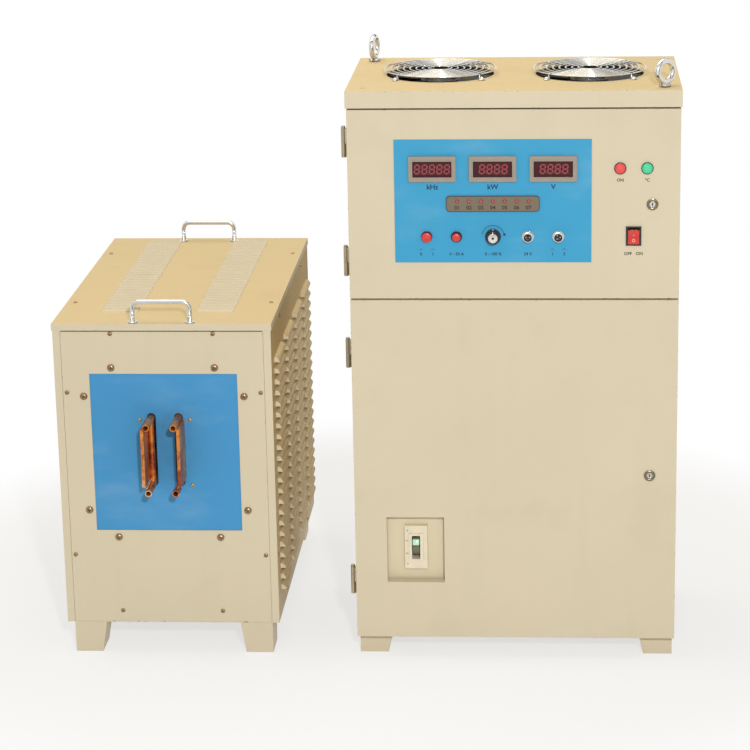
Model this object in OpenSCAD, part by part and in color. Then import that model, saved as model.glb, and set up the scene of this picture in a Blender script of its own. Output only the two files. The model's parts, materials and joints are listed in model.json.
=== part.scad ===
// Induction heating machine: a power cabinet with its control door, and a transformer head cabinet.
// Each piece is one node. Lengths are millimetres, +Z is up, and the operator faces along +Y.

/* [Power cabinet] */
// Width over the lid
lid_w = 560; // [540:1:620]
// Depth over the lid
lid_d = 356; // [345:1:400]
// Height from the floor to the top of the lid
cabinet_h = 1008; // [990:1:1060]
// Height of the lid's folded edge
lid_edge_h = 28; // [20:1:34]
// How far the lid's front stands past the doors
lid_overhang = 2; // [1.5:0.5:4]
// Thickness of the folded sheet
sheet = 1.5; // [1.2:0.1:1.8]
// Width of the frame's front flanges
flange_w = 20; // [16:1:22]
// Height of the feet
foot_h = 38; // [30:1:50]
// Width of a foot at its top
foot_w = 59; // [54:1:66]
// Width of a foot on the floor
foot_toe_w = 50; // [42:1:52]

/* [Doors] */
// Height of the upper door
upper_door_h = 323.5; // [310:0.5:340]
// Gap between the doors, and under the lid
door_gap = 3; // [2:0.5:4]
// Depth of the door pans
door_d = 20; // [18:1:22]
// Room between the closed doors and the frame
door_seat = 2; // [1.5:0.5:3]
// Width of the lip folded in behind a door
door_lip_w = 10; // [6:1:12]
// Distance of the hinge axis out from the cabinet's side
hinge_out = 6; // [5.5:0.5:7]
// Radius of a hinge barrel
hinge_r = 4; // [3.6:0.1:4.4]
// Radius of a hinge pin
hinge_pin_r = 2; // [1.6:0.1:2.2]
// Length of one hinge knuckle
knuckle_l = 25; // [20:1:30]
// Radius of the lock barrels' faces
lock_face_r = 10.4; // [9.5:0.1:12]
// Reach of the lock cams
cam_l = 38; // [34:1:40]

/* [Control panel] */
// Width of the coloured panel
panel_w = 330; // [320:1:350]
// Height of the coloured panel
panel_h = 210; // [200:1:220]
// Thickness of the coloured panel
panel_t = 1; // [0.6:0.2:1.4]
// Width of a meter's bezel
meter_w = 79; // [74:1:86]
// Height of a meter's bezel
meter_h = 43; // [40:1:48]
// Spacing of the meters
meter_pitch = 101.2; // [96:0.1:106]
// Width of the status strip
strip_w = 156; // [150:1:170]
// Height of the status strip
strip_h = 26; // [24:1:30]
// Radius of a push button's collar
button_collar_r = 9.5; // [9:0.1:11]
// Radius of a push button's cap
button_r = 6.5; // [6:0.1:7]
// Travel of the push buttons
button_travel = 3; // [2:0.5:4]
// Radius of the control knob's skirt
knob_r = 13.2; // [12:0.1:15]
// Height of the control knob
knob_h = 15; // [13:0.5:18]
// Radius of the sockets' rings
socket_r = 10; // [9:0.1:11]
// Radius of the lamps' collars
lamp_collar_r = 10.2; // [9.5:0.1:11]
// Width of the rocker switch's frame
rocker_frame_w = 26; // [25:0.5:28]
// Height of the rocker switch's frame
rocker_frame_h = 33; // [32:0.5:36]

/* [Circuit breaker] */
// Width of the window in the lower door
window_w = 100; // [94:1:110]
// Height of the window in the lower door
window_h = 120; // [112:1:130]
// Width of the breaker's nose
nose_w = 39.5; // [36:0.5:44]
// Height of the breaker's nose
nose_h = 79; // [74:1:84]
// Tilt of the breaker's handle when it is on
handle_tilt = 20; // [16:1:22]

/* [Fans] */
// Spacing of the two fans
fan_pitch = 257; // [245:1:262]
// Radius of the fan openings
fan_r = 93; // [88:1:95]
// Depth of the fan housings
fan_d = 51; // [48:1:60]
// Number of blades on a fan
blade_count = 7; // [5:1:7]
// Number of rings on a finger guard
guard_rings = 8; // [6:1:9]
// Thickness of the guard wire
guard_wire = 2.6; // [2:0.1:3]

/* [Lifting eyes] */
// Outer diameter of an eye
eye_outer_d = 45; // [42:1:48]
// Thickness of an eye's round bar
eye_bar_d = 10; // [8:0.5:11]
// Radius of the threaded hole
eye_thread_r = 4.25; // [4:0.05:4.4]

/* [Head cabinet] */
// Width over the head's lid
head_w = 381; // [375:1:420]
// Depth over the head's lid
head_d = 652; // [640:1:700]
// Height from the floor to the top of the head's lid
head_h = 605; // [600:1:640]
// Height of the head lid's folded edge
head_edge_h = 12; // [10:1:16]
// Height of the head's feet
head_foot_h = 57; // [50:1:60]
// Width of a head foot at its top
head_foot_w = 57; // [52:1:62]
// Width of a head foot on the floor
head_foot_toe_w = 48; // [42:1:50]
// Width of the post on either side of the front plate
face_border = 15; // [13:1:18]
// Thickness of the head's front plate
face_t = 2; // [1.6:0.2:3]
// Width of the window in the front plate
board_window_w = 257; // [240:1:270]
// Height of the window in the front plate
board_window_h = 286; // [270:1:300]
// Thickness of the insulating board
board_t = 12; // [10:1:15]
// Gap between the two cabinets
cabinet_gap = 136; // [120:1:300]
// How far the head's front stands behind the doors
head_setback = 15; // [10:1:60]

/* [Louvres] */
// Length of a side louvre
louvre_l = 105; // [95:1:115]
// Reach of a side louvre
louvre_r = 9; // [8:0.5:10]
// Spacing of the side louvres
louvre_pitch = 20; // [19:0.5:22]
// Room over the side louvres
louvre_room = 75; // [65:1:120]
// Length of a lid louvre
lid_louvre_l = 64; // [58:1:70]
// Reach of a lid louvre
lid_louvre_r = 5; // [4.5:0.5:6]
// Spacing of the lid louvres
lid_louvre_pitch = 18.9; // [18:0.1:20]
// Room behind the lid louvres
lid_louvre_room = 38; // [36:1:90]

/* [Carry handles] */
// Distance between a handle's legs
grip_span = 99; // [90:1:102]
// Height of a handle
grip_h = 41; // [36:1:50]
// Diameter of a handle's bar
grip_bar_d = 8; // [7:0.5:9]

/* [Output terminals] */
// Spacing of the terminal tubes
terminal_pitch = 47.4; // [44:0.1:52]
// Outer radius of a terminal tube
tube_r = 6; // [5.6:0.1:6.4]
// Bore radius of a terminal tube
tube_bore_r = 4.25; // [4:0.05:4.6]
// Height between the upper and lower tubes
tube_rise = 118; // [110:1:124]
// Reach of the tubes out of the board
tube_reach = 65; // [55:1:80]
// Thickness of a terminal plate
bar_t = 5.5; // [5:0.5:6]

/* [Hidden] */

// General values
$fn = 48;
cut = 1;
fit = 0.2;
run_fit = 0.05;
bend_steps = 5;
cream = [0.85, 0.8, 0.69];
panel_blue = [0.31, 0.66, 0.8];
board_blue = [0.31, 0.6, 0.79];
steel = [0.75, 0.75, 0.76];
dark = [0.13, 0.13, 0.14];
copper = [0.72, 0.4, 0.2];
brass = [0.78, 0.62, 0.3];

// Power cabinet, worked out
body_half = lid_w / 2 - sheet;
door_inset = 0.5;
door_half = body_half - door_inset;
frame_y = door_d + door_seat;
body_back = lid_d - lid_overhang - sheet;
lid_under = cabinet_h - sheet;
body_floor = foot_h + sheet;
upper_door_z1 = cabinet_h - lid_edge_h - door_gap;
door_split_h = upper_door_z1 - upper_door_h - door_gap / 2;
lower_door_z0 = foot_h + door_inset;
lower_door_z1 = door_split_h - door_gap / 2;
upper_door_z0 = door_split_h + door_gap / 2;
upper_mid = (upper_door_z0 + upper_door_z1) / 2;
shelf_lip_h = 25;
header_h = 48;
header_lip_d = 15;
rear_flange_w = 15;
sill_h = 25;
foot_inset = 3.5;
foot_setback = 2;
foot_depth = 70;
foot_wall = 2;

// Hinges, worked out
hinge_x = -body_half - hinge_out;
hinge_y = door_d - hinge_out;
knuckle_gap = 0.3;
leaf_t = 2.5;
fixed_leaf_l = 31;
door_leaf_l = 12;
pin_cap_r = 3.4;
pin_cap_h = 2.5;
hinge_end_upper = 57;
hinge_end_top = 62;
hinge_end_lower = 97;
hinge_inner_end = 102;
hinge_zs = [
    lower_door_z0 + hinge_inner_end, lower_door_z1 - hinge_end_lower,
    upper_door_z0 + hinge_end_top, upper_door_z1 - hinge_end_upper
];

// Locks, worked out
lock_inset = 46;
lock_rise = 1;
lock_low_share = 0.492;
lock_x = door_half - lock_inset;
lock_upper_z = upper_mid + lock_rise;
lock_lower_z = lower_door_z0 + lock_low_share * (lower_door_z1 - lower_door_z0);
lock_face_t = 3;
lock_barrel_r = 8;
lock_plug_r = 5;
lock_nut_r = 11.5;
lock_nut_t = 4;
lock_slot_w = 1.6;
lock_slot_l = 6;
lock_slot_d = 2;
cam_w = 12;
cam_t = 2.5;
cam_room = 0.3;
lock_past = 0.7;
lock_end = frame_y + sheet + lock_past;

// Control panel, worked out
panel_left_share = 0.3473;
panel_x = panel_left_share * (2 * door_half - panel_w) - door_half + panel_w / 2;
panel_right = panel_x + panel_w / 2;
side_strip_w = door_half - panel_right;
panel_rise = 6.5;
panel_z = upper_mid + panel_rise;
face_y = -panel_t;
meter_rise = 55.5;
meter_lip = 6;
meter_body_inset = 1.7;
meter_body_d = 45;
glass_w = 65.5;
glass_h = 27;
glass_t = 1.5;
glass_recess = 3.5;
strip_t = 2.5;
strip_drop = 4;
strip_corner_r = 6;
light_count = 7;
light_pitch = 20;
light_r = 2.4;
light_t = 1;
light_rise = 4.5;
row_drop = 60.5;
start_offset = 111.5;
stop_offset = 61.5;
socket_two_offset = 58.5;
socket_three_offset = 109.5;
start_x = panel_x - start_offset;
stop_x = panel_x - stop_offset;
knob_x = panel_x;
socket_two_x = panel_x + socket_two_offset;
socket_three_x = panel_x + socket_three_offset;
row_z = panel_z - row_drop;
collar_t = 3;
collar_body_r = 8;
collar_body_d = 26;
button_proud = 5;
button_stem_d = 14;
lamp_left_share = 0.322;
lamp_right_share = 0.627;
lamp_left_x = panel_right + lamp_left_share * side_strip_w;
lamp_right_x = panel_right + lamp_right_share * side_strip_w;
lamp_z = panel_z + meter_rise;
lens_r = 7.4;
lens_proud = 4.5;
lens_seat_d = 6;
knob_skirt_t = 3;
knob_grip_r = 11;
knob_cap_r = 7.5;
knob_cap_t = 1.2;
knob_recess_r = 8;
knob_recess_d = 6;
knob_room = 0.4;
knob_flutes = 18;
flute_r = 1;
shaft_r = 3;
shaft_end = 17;
bush_r = 4.9;
bush_proud = 4;
pot_r = 12.5;
pot_d = 20;
socket_proud = 12;
socket_tube_r = 8;
socket_cavity_r = 6.6;
socket_cavity_d = 10;
socket_ring_t = 2.5;
socket_end = 18;
socket_pin_r = 1;
socket_pin_l = 5;
socket_pin_circle = 3.2;
rocker_share = 0.478;
rocker_drop = 53.5;
rocker_x = panel_right + rocker_share * side_strip_w;
rocker_z = upper_mid - rocker_drop;
rocker_frame_t = 2.5;
rocker_body_w = 22;
rocker_body_d = 25;
rocker_cavity_w = 19.2;
rocker_cavity_h = 28;
rocker_body_h = 30;
rocker_w = 18.6;
rocker_half_h = 12.2;
rocker_valley = 3.2;
rocker_wing = 2.3;
rocker_foot_half = 8;
rocker_foot_y = 6;
rocker_shoulder_y = -1;
rocker_pivot_y = 4;
rocker_pin_r = 1.5;
rocker_pin_l = 1.1;
rocker_cavity_d = 14;
rocker_tilt = 10;

// Breaker, worked out
window_inset = 105;
window_rise = 162.5;
window_x = window_inset - door_half;
window_z = lower_door_z0 + window_rise;
breaker_plate_w = 176;
breaker_plate_h = 260;
nose_y = 14;
rim_w = 25;
rim_h = 50;
rim_y = 11;
slot_w = 14;
slot_h = 43;
slot_end = 48;
breaker_w = 76;
breaker_h = 130;
breaker_end = 95;
handle_y = 36;
handle_w = 10;
handle_t = 11;
handle_l = 31;
handle_barrel_r = 7;
handle_barrel_l = 12;
handle_pin_r = 2;
handle_pin_l = 4;

// Fans, worked out
fan_y = lid_d / 2 + lid_overhang;
flange_past = 9;
fan_flange = 2 * (fan_r + flange_past);
fan_flange_t = 4;
fan_corner_r = 24;
fan_wall = 3;
fan_step = 1;
fan_bore_r = fan_r - fan_step;
motor_r = 32;
motor_h = 18;
arm_w = 12;
arm_t = 6;
arm_count = 4;
hub_r = 34;
hub_h = 25;
hub_gap = 0.5;
fan_shaft_r = 4;
shaft_floor = 3;
blade_t = 2.5;
blade_chord = 50;
blade_pitch = 35;
blade_tip_gap = 2.5;
guard_raise = 8;
guard_outer_r = fan_r + 3;
guard_inner_r = 20;
guard_spokes = 4;
guard_start = 45;
ear_r = 5.5;
ear_hole_r = 2.2;
ear_reach = 8;
guard_foot_r = guard_outer_r + ear_reach;

// Lifting eyes, worked out
eye_inset_x = 28;
eye_inset_y = 36;
eye_x = lid_w / 2 - eye_inset_x;
eye_front_y = eye_inset_y - lid_overhang;
eye_rear_y = lid_d - lid_overhang - eye_inset_y;
eye_collar_r = 10;
eye_collar_h = 5;
eye_sink = 2;
insert_r = 8;
insert_h = 10;
eye_turn_front = 42;
eye_turn_rear = 77;

// Head cabinet, worked out
head_half = head_w / 2 - sheet;
head_back_y = head_d - 2 * sheet;
head_under = head_h - sheet;
head_base = head_foot_h + sheet;
face_half = head_w / 2 - face_border;
face_gap = 0.5;
joggle_w = 18;
head_rear_flange_w = 19;
head_foot_inset = 12.5;
board_rise = 41.5;
board_z = (head_base + head_under) / 2 + board_rise;
board_margin = 16;
slot_cut_w = 15;
slot_cut_h = 133;
slot_rise = 5;
slot_mid_z = board_z + slot_rise;
lid_band_x = 83.5;
lid_band_start = 64;
lid_louvre_rows = floor((head_d - lid_band_start - lid_louvre_room) / lid_louvre_pitch);
side_column_share = 0.2342;
side_column_pitch = side_column_share * head_back_y;
side_column_count = 4;
side_louvre_z0 = 104;
louvre_rows = 1 + floor((head_under - louvre_room - side_louvre_z0) / louvre_pitch);
rear_louvre_l = 180;
rear_column_pitch = 240;
rear_row_pitch = 30;
rear_louvre_z0 = 330;
rear_room = 160;
rear_rows = 1 + floor((lid_under - rear_room - rear_louvre_z0) / rear_row_pitch);
head_rear_pitch = 160;
head_rear_z0 = 320;
head_rear_room = 95;
head_rear_rows = 1 + floor((head_under - head_rear_room - head_rear_z0) / louvre_pitch);
grip_bend_r = 12;
grip_foot_r = 8;
grip_foot_t = 2.5;
grip_front_y = 7.5;
grip_rear_inset = 26;

// Terminals and what is behind them, worked out
tube_low_z = slot_mid_z - tube_rise / 2;
tube_high_z = slot_mid_z + tube_rise / 2;
tube_y0 = face_t - tube_reach;
tube_bore_l = 60;
tube_inner_l = 46;
riser_r = 5;
riser_out = 8;
riser_y = face_t - riser_out;
bar_offset = 7.5;
bar_reach = 62;
bar_stand = 1;
bar_y0 = face_t - bar_reach;
bar_y1 = face_t - bar_stand;
bar_low = 10;
bar_high_sink = 3;
winding_y0 = face_t + board_t + tube_inner_l;
winding_wall = 30;
winding_past = 6.5;
winding_h = tube_rise + 4 * tube_r + 2 * winding_past;
core_leg_half = 30;
core_leg_d = 90;
core_gap = 0.3;
core_side_w = 40;
core_yoke_h = 42;
core_post_w = 20;
core_post_d = 70;
tank_y0 = 330;
tank_count = 3;
tank_w = 70;
tank_d = 130;
tank_h = 190;
tank_pitch = 84;
tank_rail_h = 12;
tank_rail_w = 260;
tank_bar_w = 30;
tank_bar_t = 6;
tank_bar_l = 240;

// Parts inside the power cabinet
stack_x = 70;
stack_y = 235;
stack_w = 260;
stack_h = 330;
stack_t = 18;
stack_foot_d = 60;
stack_foot_t = 6;
module_w = 62;
module_h = 106;
module_d = 30;
module_pitch_x = 90;
module_pitch_z = 140;
module_low = 80;
bank_x = 60;
bank_y = 120;
bank_count = 3;
bank_pitch = 84;
bank_r = 36;
bank_h = 130;
bank_bar_w = 30;
bank_bar_t = 4;
bank_bar_end = 20;
post_r = 6;
post_h = 8;
board_stand_x = 30;
board_stand_y = 250;
circuit_w = 230;
circuit_h = 150;
circuit_t = 1.8;
circuit_foot_d = 50;
circuit_foot_t = 3;
circuit_back_t = 3;
circuit_gap = 8;
standoff_r = 4;
chip_places_share = [[-0.3, 0.25], [0.1, 0.25], [0.32, -0.2], [-0.2, -0.25]];
chip_w = 34;
chip_h = 20;
chip_d = 9;

// Glands and hose tails on the backs
gland_r = 13;
gland_hex_r = 15;
gland_hex_t = 6;
gland_body_r = 12;
gland_bore_r = 8;
gland_out = 24;
gland_in = 12;
tail_r = 8;
tail_bore_r = 4;
tail_out = 44;
tail_hex_r = 11;
tail_hex_t = 9;
tail_body_r = 7;
tail_in = 12;
barb_count = 4;
barb_l = 7;
barb_drop = 1.4;
back_fitting_z = 130;
back_fitting_x = 180;
back_fitting_pitch = 60;
head_fitting_z = 130;
head_fitting_x = 90;

// Places of the two cabinets about the origin
head_left_reach = head_half + louvre_r;
total_w = head_left_reach + head_w / 2 + cabinet_gap + lid_w;
power_x = total_w / 2 - lid_w / 2;
head_x = head_left_reach - total_w / 2;
front_reach = min(head_setback + tube_y0, face_y - knob_room - knob_h - knob_cap_t);
back_reach = head_setback + head_back_y + tail_out;
origin_y = -(front_reach + back_reach) / 2;

// Points of an arc about a centre
function arc_points(cx, cy, r, a0, a1) = [
    for (i = [0:bend_steps])
        let (a = a0 + (a1 - a0) * i / bend_steps) [cx + r * cos(a), cy + r * sin(a)]
];

// Outline of a rectangle with round corners, centred
function rounded(w, h, r) = concat(
    arc_points(w / 2 - r, h / 2 - r, r, 0, 90),
    arc_points(r - w / 2, h / 2 - r, r, 90, 180),
    arc_points(r - w / 2, r - h / 2, r, 180, 270),
    arc_points(w / 2 - r, r - h / 2, r, 270, 360)
);

module in_power() {
    translate([power_x, origin_y, 0]) children();
}

module in_head() {
    translate([head_x, origin_y + head_setback, 0]) children();
}

// A box given by its two corners
module box(a, b) {
    translate(a) cube(b - a);
}

// A rod along Y
module rod_y(x, z, r, y0, y1) {
    translate([x, y1, z]) rotate([90, 0, 0]) cylinder(r = r, h = y1 - y0);
}

// A rod along X
module rod_x(y, z, r, x0, x1) {
    translate([x0, y, z]) rotate([0, 90, 0]) cylinder(r = r, h = x1 - x0);
}

// A flat outline in X and Z, from y0 back to y1
module slab_y(x, z, y0, y1) {
    translate([x, y1, z]) rotate([90, 0, 0]) linear_extrude(y1 - y0) children();
}

// A centred rectangle in X and Z, from y0 back to y1
module block_y(x, z, w, h, y0, y1) {
    translate([x - w / 2, y0, z - h / 2]) cube([w, y1 - y0, h]);
}

// A pressed louvre on the plane z = 0: its mouth faces -Y and its hood runs down to the plane at y = r
module louvre_hood(l, r) {
    rotate([0, -90, 0]) translate([0, 0, -l / 2]) rotate_extrude(angle = 90) polygon([
        [0, 0], [r, 0], [r, l], [0, l], [0, l - sheet], [r - sheet, l - sheet], [r - sheet, sheet], [0, sheet]
    ]);
}

// The slot that a louvre leaves in its sheet
module louvre_slot(l, r) {
    translate([sheet - l / 2, 0, -sheet - cut]) cube([l - 2 * sheet, r - sheet, sheet + 2 * cut]);
}

// A foot folded from sheet, with its outer corner at the origin and its inner faces leaning in
module foot(w, toe, d, h) {
    slope = w - toe;
    difference() {
        foot_block(w, toe, d, slope, h);
        translate([foot_wall, foot_wall, foot_wall])
            foot_block(w - 2 * foot_wall, toe - 2 * foot_wall, d - 2 * foot_wall, slope, h);
    }
}

module foot_block(w, toe, d, slope, h) {
    intersection() {
        translate([0, d, 0]) rotate([90, 0, 0]) linear_extrude(d) polygon([[0, 0], [toe, 0], [w, h], [0, h]]);
        rotate([90, 0, 90]) linear_extrude(w) polygon([[0, 0], [d - slope, 0], [d, h], [0, h]]);
    }
}

// Four feet under a body, given the half width, front, back, height and inset of the body
module four_feet(half, y0, y1, w, toe, h, inset) {
    for (side = [0, 1]) mirror([side, 0, 0]) {
        translate([half - inset, y0, 0]) mirror([1, 0, 0]) foot(w, toe, foot_depth, h);
        translate([half - inset, y1, 0]) mirror([1, 0, 0]) mirror([0, 1, 0]) foot(w, toe, foot_depth, h);
    }
}

// Power cabinet shell

// A side folded into a front flange and a rear flange
module cabinet_side() {
    color(cream) translate([0, 0, body_floor]) linear_extrude(lid_under - body_floor) polygon([
        [body_half, frame_y], [body_half - flange_w, frame_y], [body_half - flange_w, frame_y + sheet],
        [body_half - sheet, frame_y + sheet], [body_half - sheet, body_back - 2 * sheet],
        [body_half - rear_flange_w, body_back - 2 * sheet], [body_half - rear_flange_w, body_back - sheet],
        [body_half - sheet, body_back - sheet], [body_half - sheet, body_back], [body_half, body_back]
    ]);
}

module cabinet_side_right() {
    in_power() cabinet_side();
}

module cabinet_side_left() {
    in_power() mirror([1, 0, 0]) cabinet_side();
}

module cabinet_back() {
    half = body_half - sheet - fit;
    color(cream) in_power() {
        difference() {
            box([-half, body_back - sheet, body_floor], [half, body_back, lid_under]);
            rear_louvres() louvre_slot(rear_louvre_l, louvre_r);
            for (i = [0, 1]) {
                rod_y(back_fitting_x - i * back_fitting_pitch, back_fitting_z, tail_body_r + fit,
                    body_back - sheet - cut, body_back + cut);
                rod_y(i * back_fitting_pitch - back_fitting_x, back_fitting_z, gland_body_r + fit,
                    body_back - sheet - cut, body_back + cut);
            }
        }
        rear_louvres() louvre_hood(rear_louvre_l, louvre_r);
    }
}

module rear_louvres() {
    for (side = [-1, 1], row = [0:rear_rows - 1])
        translate([side * rear_column_pitch / 2, body_back, rear_louvre_z0 + row * rear_row_pitch])
            rotate([90, 0, 180]) children();
}

module cabinet_floor() {
    color(cream) in_power() {
        box([-body_half, frame_y, foot_h], [body_half, body_back, body_floor]);
        box([flange_w + fit - body_half, frame_y, body_floor],
            [body_half - flange_w - fit, frame_y + sheet, body_floor + sill_h]);
    }
}

module cabinet_shelf() {
    half = body_half - sheet - fit;
    top = door_split_h - door_gap / 2;
    color(cream) in_power() {
        box([-half, frame_y + sheet, top - sheet], [half, body_back - 2 * sheet, top]);
        box([-half, frame_y + sheet, top - shelf_lip_h], [half, frame_y + 2 * sheet, top]);
    }
}

module cabinet_header() {
    half = body_half - sheet - fit;
    color(cream) in_power() {
        box([-half, frame_y + sheet, lid_under - header_h], [half, frame_y + 2 * sheet, lid_under]);
        box([-half, frame_y + sheet, lid_under - header_h],
            [half, frame_y + sheet + header_lip_d, lid_under - header_h + sheet]);
    }
}

module cabinet_lid() {
    half = lid_w / 2;
    color(cream) in_power() difference() {
        union() {
            difference() {
                box([-half, -lid_overhang, cabinet_h - lid_edge_h], [half, lid_d - lid_overhang, cabinet_h]);
                box([sheet - half, sheet - lid_overhang, cabinet_h - lid_edge_h - cut],
                    [half - sheet, lid_d - lid_overhang - sheet, lid_under]);
            }
            eye_places() translate([0, 0, -insert_h - sheet])
                cylinder(r = insert_r, h = insert_h + sheet / 2);
        }
        for (side = [-1, 1]) translate([side * fan_pitch / 2, fan_y, lid_under - cut])
            cylinder(r = fan_r, h = sheet + 2 * cut, $fn = 96);
        eye_places() translate([0, 0, -insert_h - sheet - cut])
            cylinder(r = eye_thread_r, h = insert_h + sheet + 2 * cut);
    }
}

// The four threaded places on top of the lid
module eye_places() {
    for (x = [-eye_x, eye_x], y = [eye_front_y, eye_rear_y]) translate([x, y, cabinet_h]) children();
}

module cabinet_feet() {
    color(cream) in_power()
        four_feet(body_half, frame_y + foot_setback, body_back - foot_setback, foot_w, foot_toe_w, foot_h,
            foot_inset);
}

module lifting_eyes() {
    color(steel) in_power() {
        translate([eye_x, eye_front_y, cabinet_h]) rotate([0, 0, eye_turn_front]) lifting_eye();
        translate([-eye_x, eye_rear_y, cabinet_h]) rotate([0, 0, eye_turn_rear]) lifting_eye();
    }
}

module lifting_eye() {
    ring_r = (eye_outer_d - eye_bar_d) / 2;
    translate([0, 0, -insert_h - sheet]) cylinder(r = eye_thread_r - run_fit, h = insert_h + sheet + cut);
    cylinder(r = eye_collar_r, h = eye_collar_h);
    translate([0, 0, eye_collar_h - eye_sink + eye_outer_d / 2]) rotate([90, 0, 0])
        rotate_extrude() translate([ring_r, 0]) circle(d = eye_bar_d);
}

// Fans

module at_fan(side) {
    in_power() translate([side * fan_pitch / 2, fan_y, lid_under - fan_d]) children();
}

module fan_housings() {
    color(dark) for (side = [-1, 1]) at_fan(side) fan_housing();
}

module fan_housing() {
    difference() {
        union() {
            translate([0, 0, fan_d - fan_flange_t]) linear_extrude(fan_flange_t)
                polygon(rounded(fan_flange, fan_flange, fan_corner_r));
            cylinder(r = fan_bore_r + fan_wall, h = fan_d - fan_flange_t / 2, $fn = 96);
        }
        translate([0, 0, -cut]) cylinder(r = fan_bore_r, h = fan_d + 2 * cut, $fn = 96);
    }
    difference() {
        union() {
            cylinder(r = motor_r, h = motor_h);
            intersection() {
                for (i = [0:arm_count / 2 - 1]) rotate([0, 0, guard_start + i * 180 / (arm_count / 2)])
                    translate([-fan_bore_r - fan_wall, -arm_w / 2, 0])
                        cube([2 * (fan_bore_r + fan_wall), arm_w, arm_t]);
                cylinder(r = fan_bore_r + fan_wall / 2, h = arm_t);
            }
        }
        translate([0, 0, shaft_floor]) cylinder(r = fan_shaft_r + run_fit, h = motor_h);
    }
}

module fan_rotor() {
    hub_z = motor_h + hub_gap;
    difference() {
        translate([0, 0, hub_z]) cylinder(r = hub_r, h = hub_h);
        translate([0, 0, hub_z + hub_h - blade_t]) cylinder(r = hub_r - 3 * blade_t, h = blade_t + cut);
    }
    translate([0, 0, shaft_floor + hub_gap]) cylinder(r = fan_shaft_r, h = motor_h);
    intersection() {
        for (i = [0:blade_count - 1]) rotate([0, 0, i * 360 / blade_count])
            translate([hub_r - blade_t, 0, hub_z + hub_h / 2]) rotate([blade_pitch, 0, 0])
                translate([0, -blade_chord / 2, -blade_t / 2]) cube([fan_r, blade_chord, blade_t]);
        difference() {
            cylinder(r = fan_bore_r - blade_tip_gap, h = fan_d, $fn = 96);
            translate([0, 0, -cut]) cylinder(r = hub_r - blade_t, h = fan_d + 2 * cut);
        }
    }
}

module fan_rotor_left() {
    color(dark) at_fan(-1) fan_rotor();
}

module fan_rotor_right() {
    color(dark) at_fan(1) fan_rotor();
}

module fan_guards() {
    color(steel) in_power() for (side = [-1, 1])
        translate([side * fan_pitch / 2, fan_y, cabinet_h]) fan_guard();
}

module fan_guard() {
    wire_r = guard_wire / 2;
    step = (guard_outer_r - guard_inner_r) / (guard_rings - 1);
    for (i = [0:guard_rings - 1])
        translate([0, 0, guard_raise + wire_r]) rotate_extrude($fn = 96)
            translate([guard_inner_r + i * step, 0]) circle(r = wire_r, $fn = 16);
    for (i = [0:guard_spokes - 1]) rotate([0, 0, guard_start + i * 360 / guard_spokes]) guard_spoke();
}

// A spoke welded under the rings, with its leg down to a screw ear on the lid
module guard_spoke() {
    wire_r = guard_wire / 2;
    inner = guard_inner_r - guard_wire;
    reach = guard_outer_r + guard_wire - inner;
    translate([inner, -wire_r, guard_raise - wire_r]) cube([reach, guard_wire, guard_wire]);
    translate([guard_outer_r + guard_wire / 2, -wire_r, 0]) cube([guard_wire, guard_wire, guard_raise]);
    difference() {
        union() {
            translate([guard_foot_r, 0, 0]) cylinder(r = ear_r, h = guard_wire);
            translate([guard_outer_r + guard_wire / 2, -wire_r, 0])
                cube([guard_foot_r - guard_outer_r - guard_wire, guard_wire, guard_wire]);
        }
        translate([guard_foot_r, 0, -cut]) cylinder(r = ear_hole_r, h = guard_wire + 2 * cut);
    }
}

// Doors and their hinges

module door_pan(z0, z1) {
    difference() {
        box([-door_half, 0, z0], [door_half, door_d, z1]);
        box([sheet - door_half, sheet, z0 + sheet], [door_half - sheet, door_d - sheet, z1 - sheet]);
        box([door_lip_w - door_half, sheet, z0 + door_lip_w],
            [door_half - door_lip_w, door_d + cut, z1 - door_lip_w]);
    }
}

module upper_door() {
    color(cream) in_power() difference() {
        door_pan(upper_door_z0, upper_door_z1);
        panel_holes(-cut, sheet + cut);
        for (x = [lamp_left_x, lamp_right_x]) rod_y(x, lamp_z, collar_body_r + fit, -cut, sheet + cut);
        block_y(rocker_x, rocker_z, rocker_body_w + 2 * fit, rocker_body_h + 2 * fit, -cut, sheet + cut);
        rod_y(lock_x, lock_upper_z, lock_barrel_r + fit, -cut, sheet + cut);
    }
}

// Every opening that the coloured panel shares with the door behind it
module panel_holes(y0, y1) {
    for (i = [-1:1])
        block_y(panel_x + i * meter_pitch, panel_z + meter_rise, meter_w - 2 * meter_body_inset + 2 * fit,
            meter_h - 2 * meter_body_inset + 2 * fit, y0, y1);
    for (x = [start_x, stop_x, socket_two_x, socket_three_x]) rod_y(x, row_z, collar_body_r + fit, y0, y1);
    rod_y(knob_x, row_z, bush_r + fit, y0, y1);
}

module control_panel() {
    color(panel_blue) in_power() difference() {
        block_y(panel_x, panel_z, panel_w, panel_h, face_y, 0);
        panel_holes(face_y - cut, cut);
    }
}

module lower_door() {
    color(cream) in_power() difference() {
        union() {
            door_pan(lower_door_z0, lower_door_z1);
            block_y(window_x, window_z, window_w + 2 * sheet, window_h + 2 * sheet, 0, door_d);
        }
        block_y(window_x, window_z, window_w, window_h, -cut, door_d + cut);
        rod_y(lock_x, lock_lower_z, lock_barrel_r + fit, -cut, sheet + cut);
    }
}

// A leaf at a hinge axis: a knuckle, and a plate against the side, running back or forward
module hinge_leaf(length, reach, back) {
    y0 = back ? 0 : -length;
    difference() {
        union() {
            cylinder(r = hinge_r, h = knuckle_l);
            translate([hinge_out - leaf_t, y0, 0]) cube([reach - hinge_out + leaf_t, length, knuckle_l]);
        }
        translate([0, 0, -cut]) cylinder(r = hinge_pin_r + run_fit, h = knuckle_l + 2 * cut);
    }
}

module hinge_fixed_leaves() {
    color(steel) in_power() for (z = hinge_zs)
        translate([hinge_x, hinge_y, z - knuckle_l - knuckle_gap / 2])
            hinge_leaf(fixed_leaf_l, hinge_out, true);
}

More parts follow.
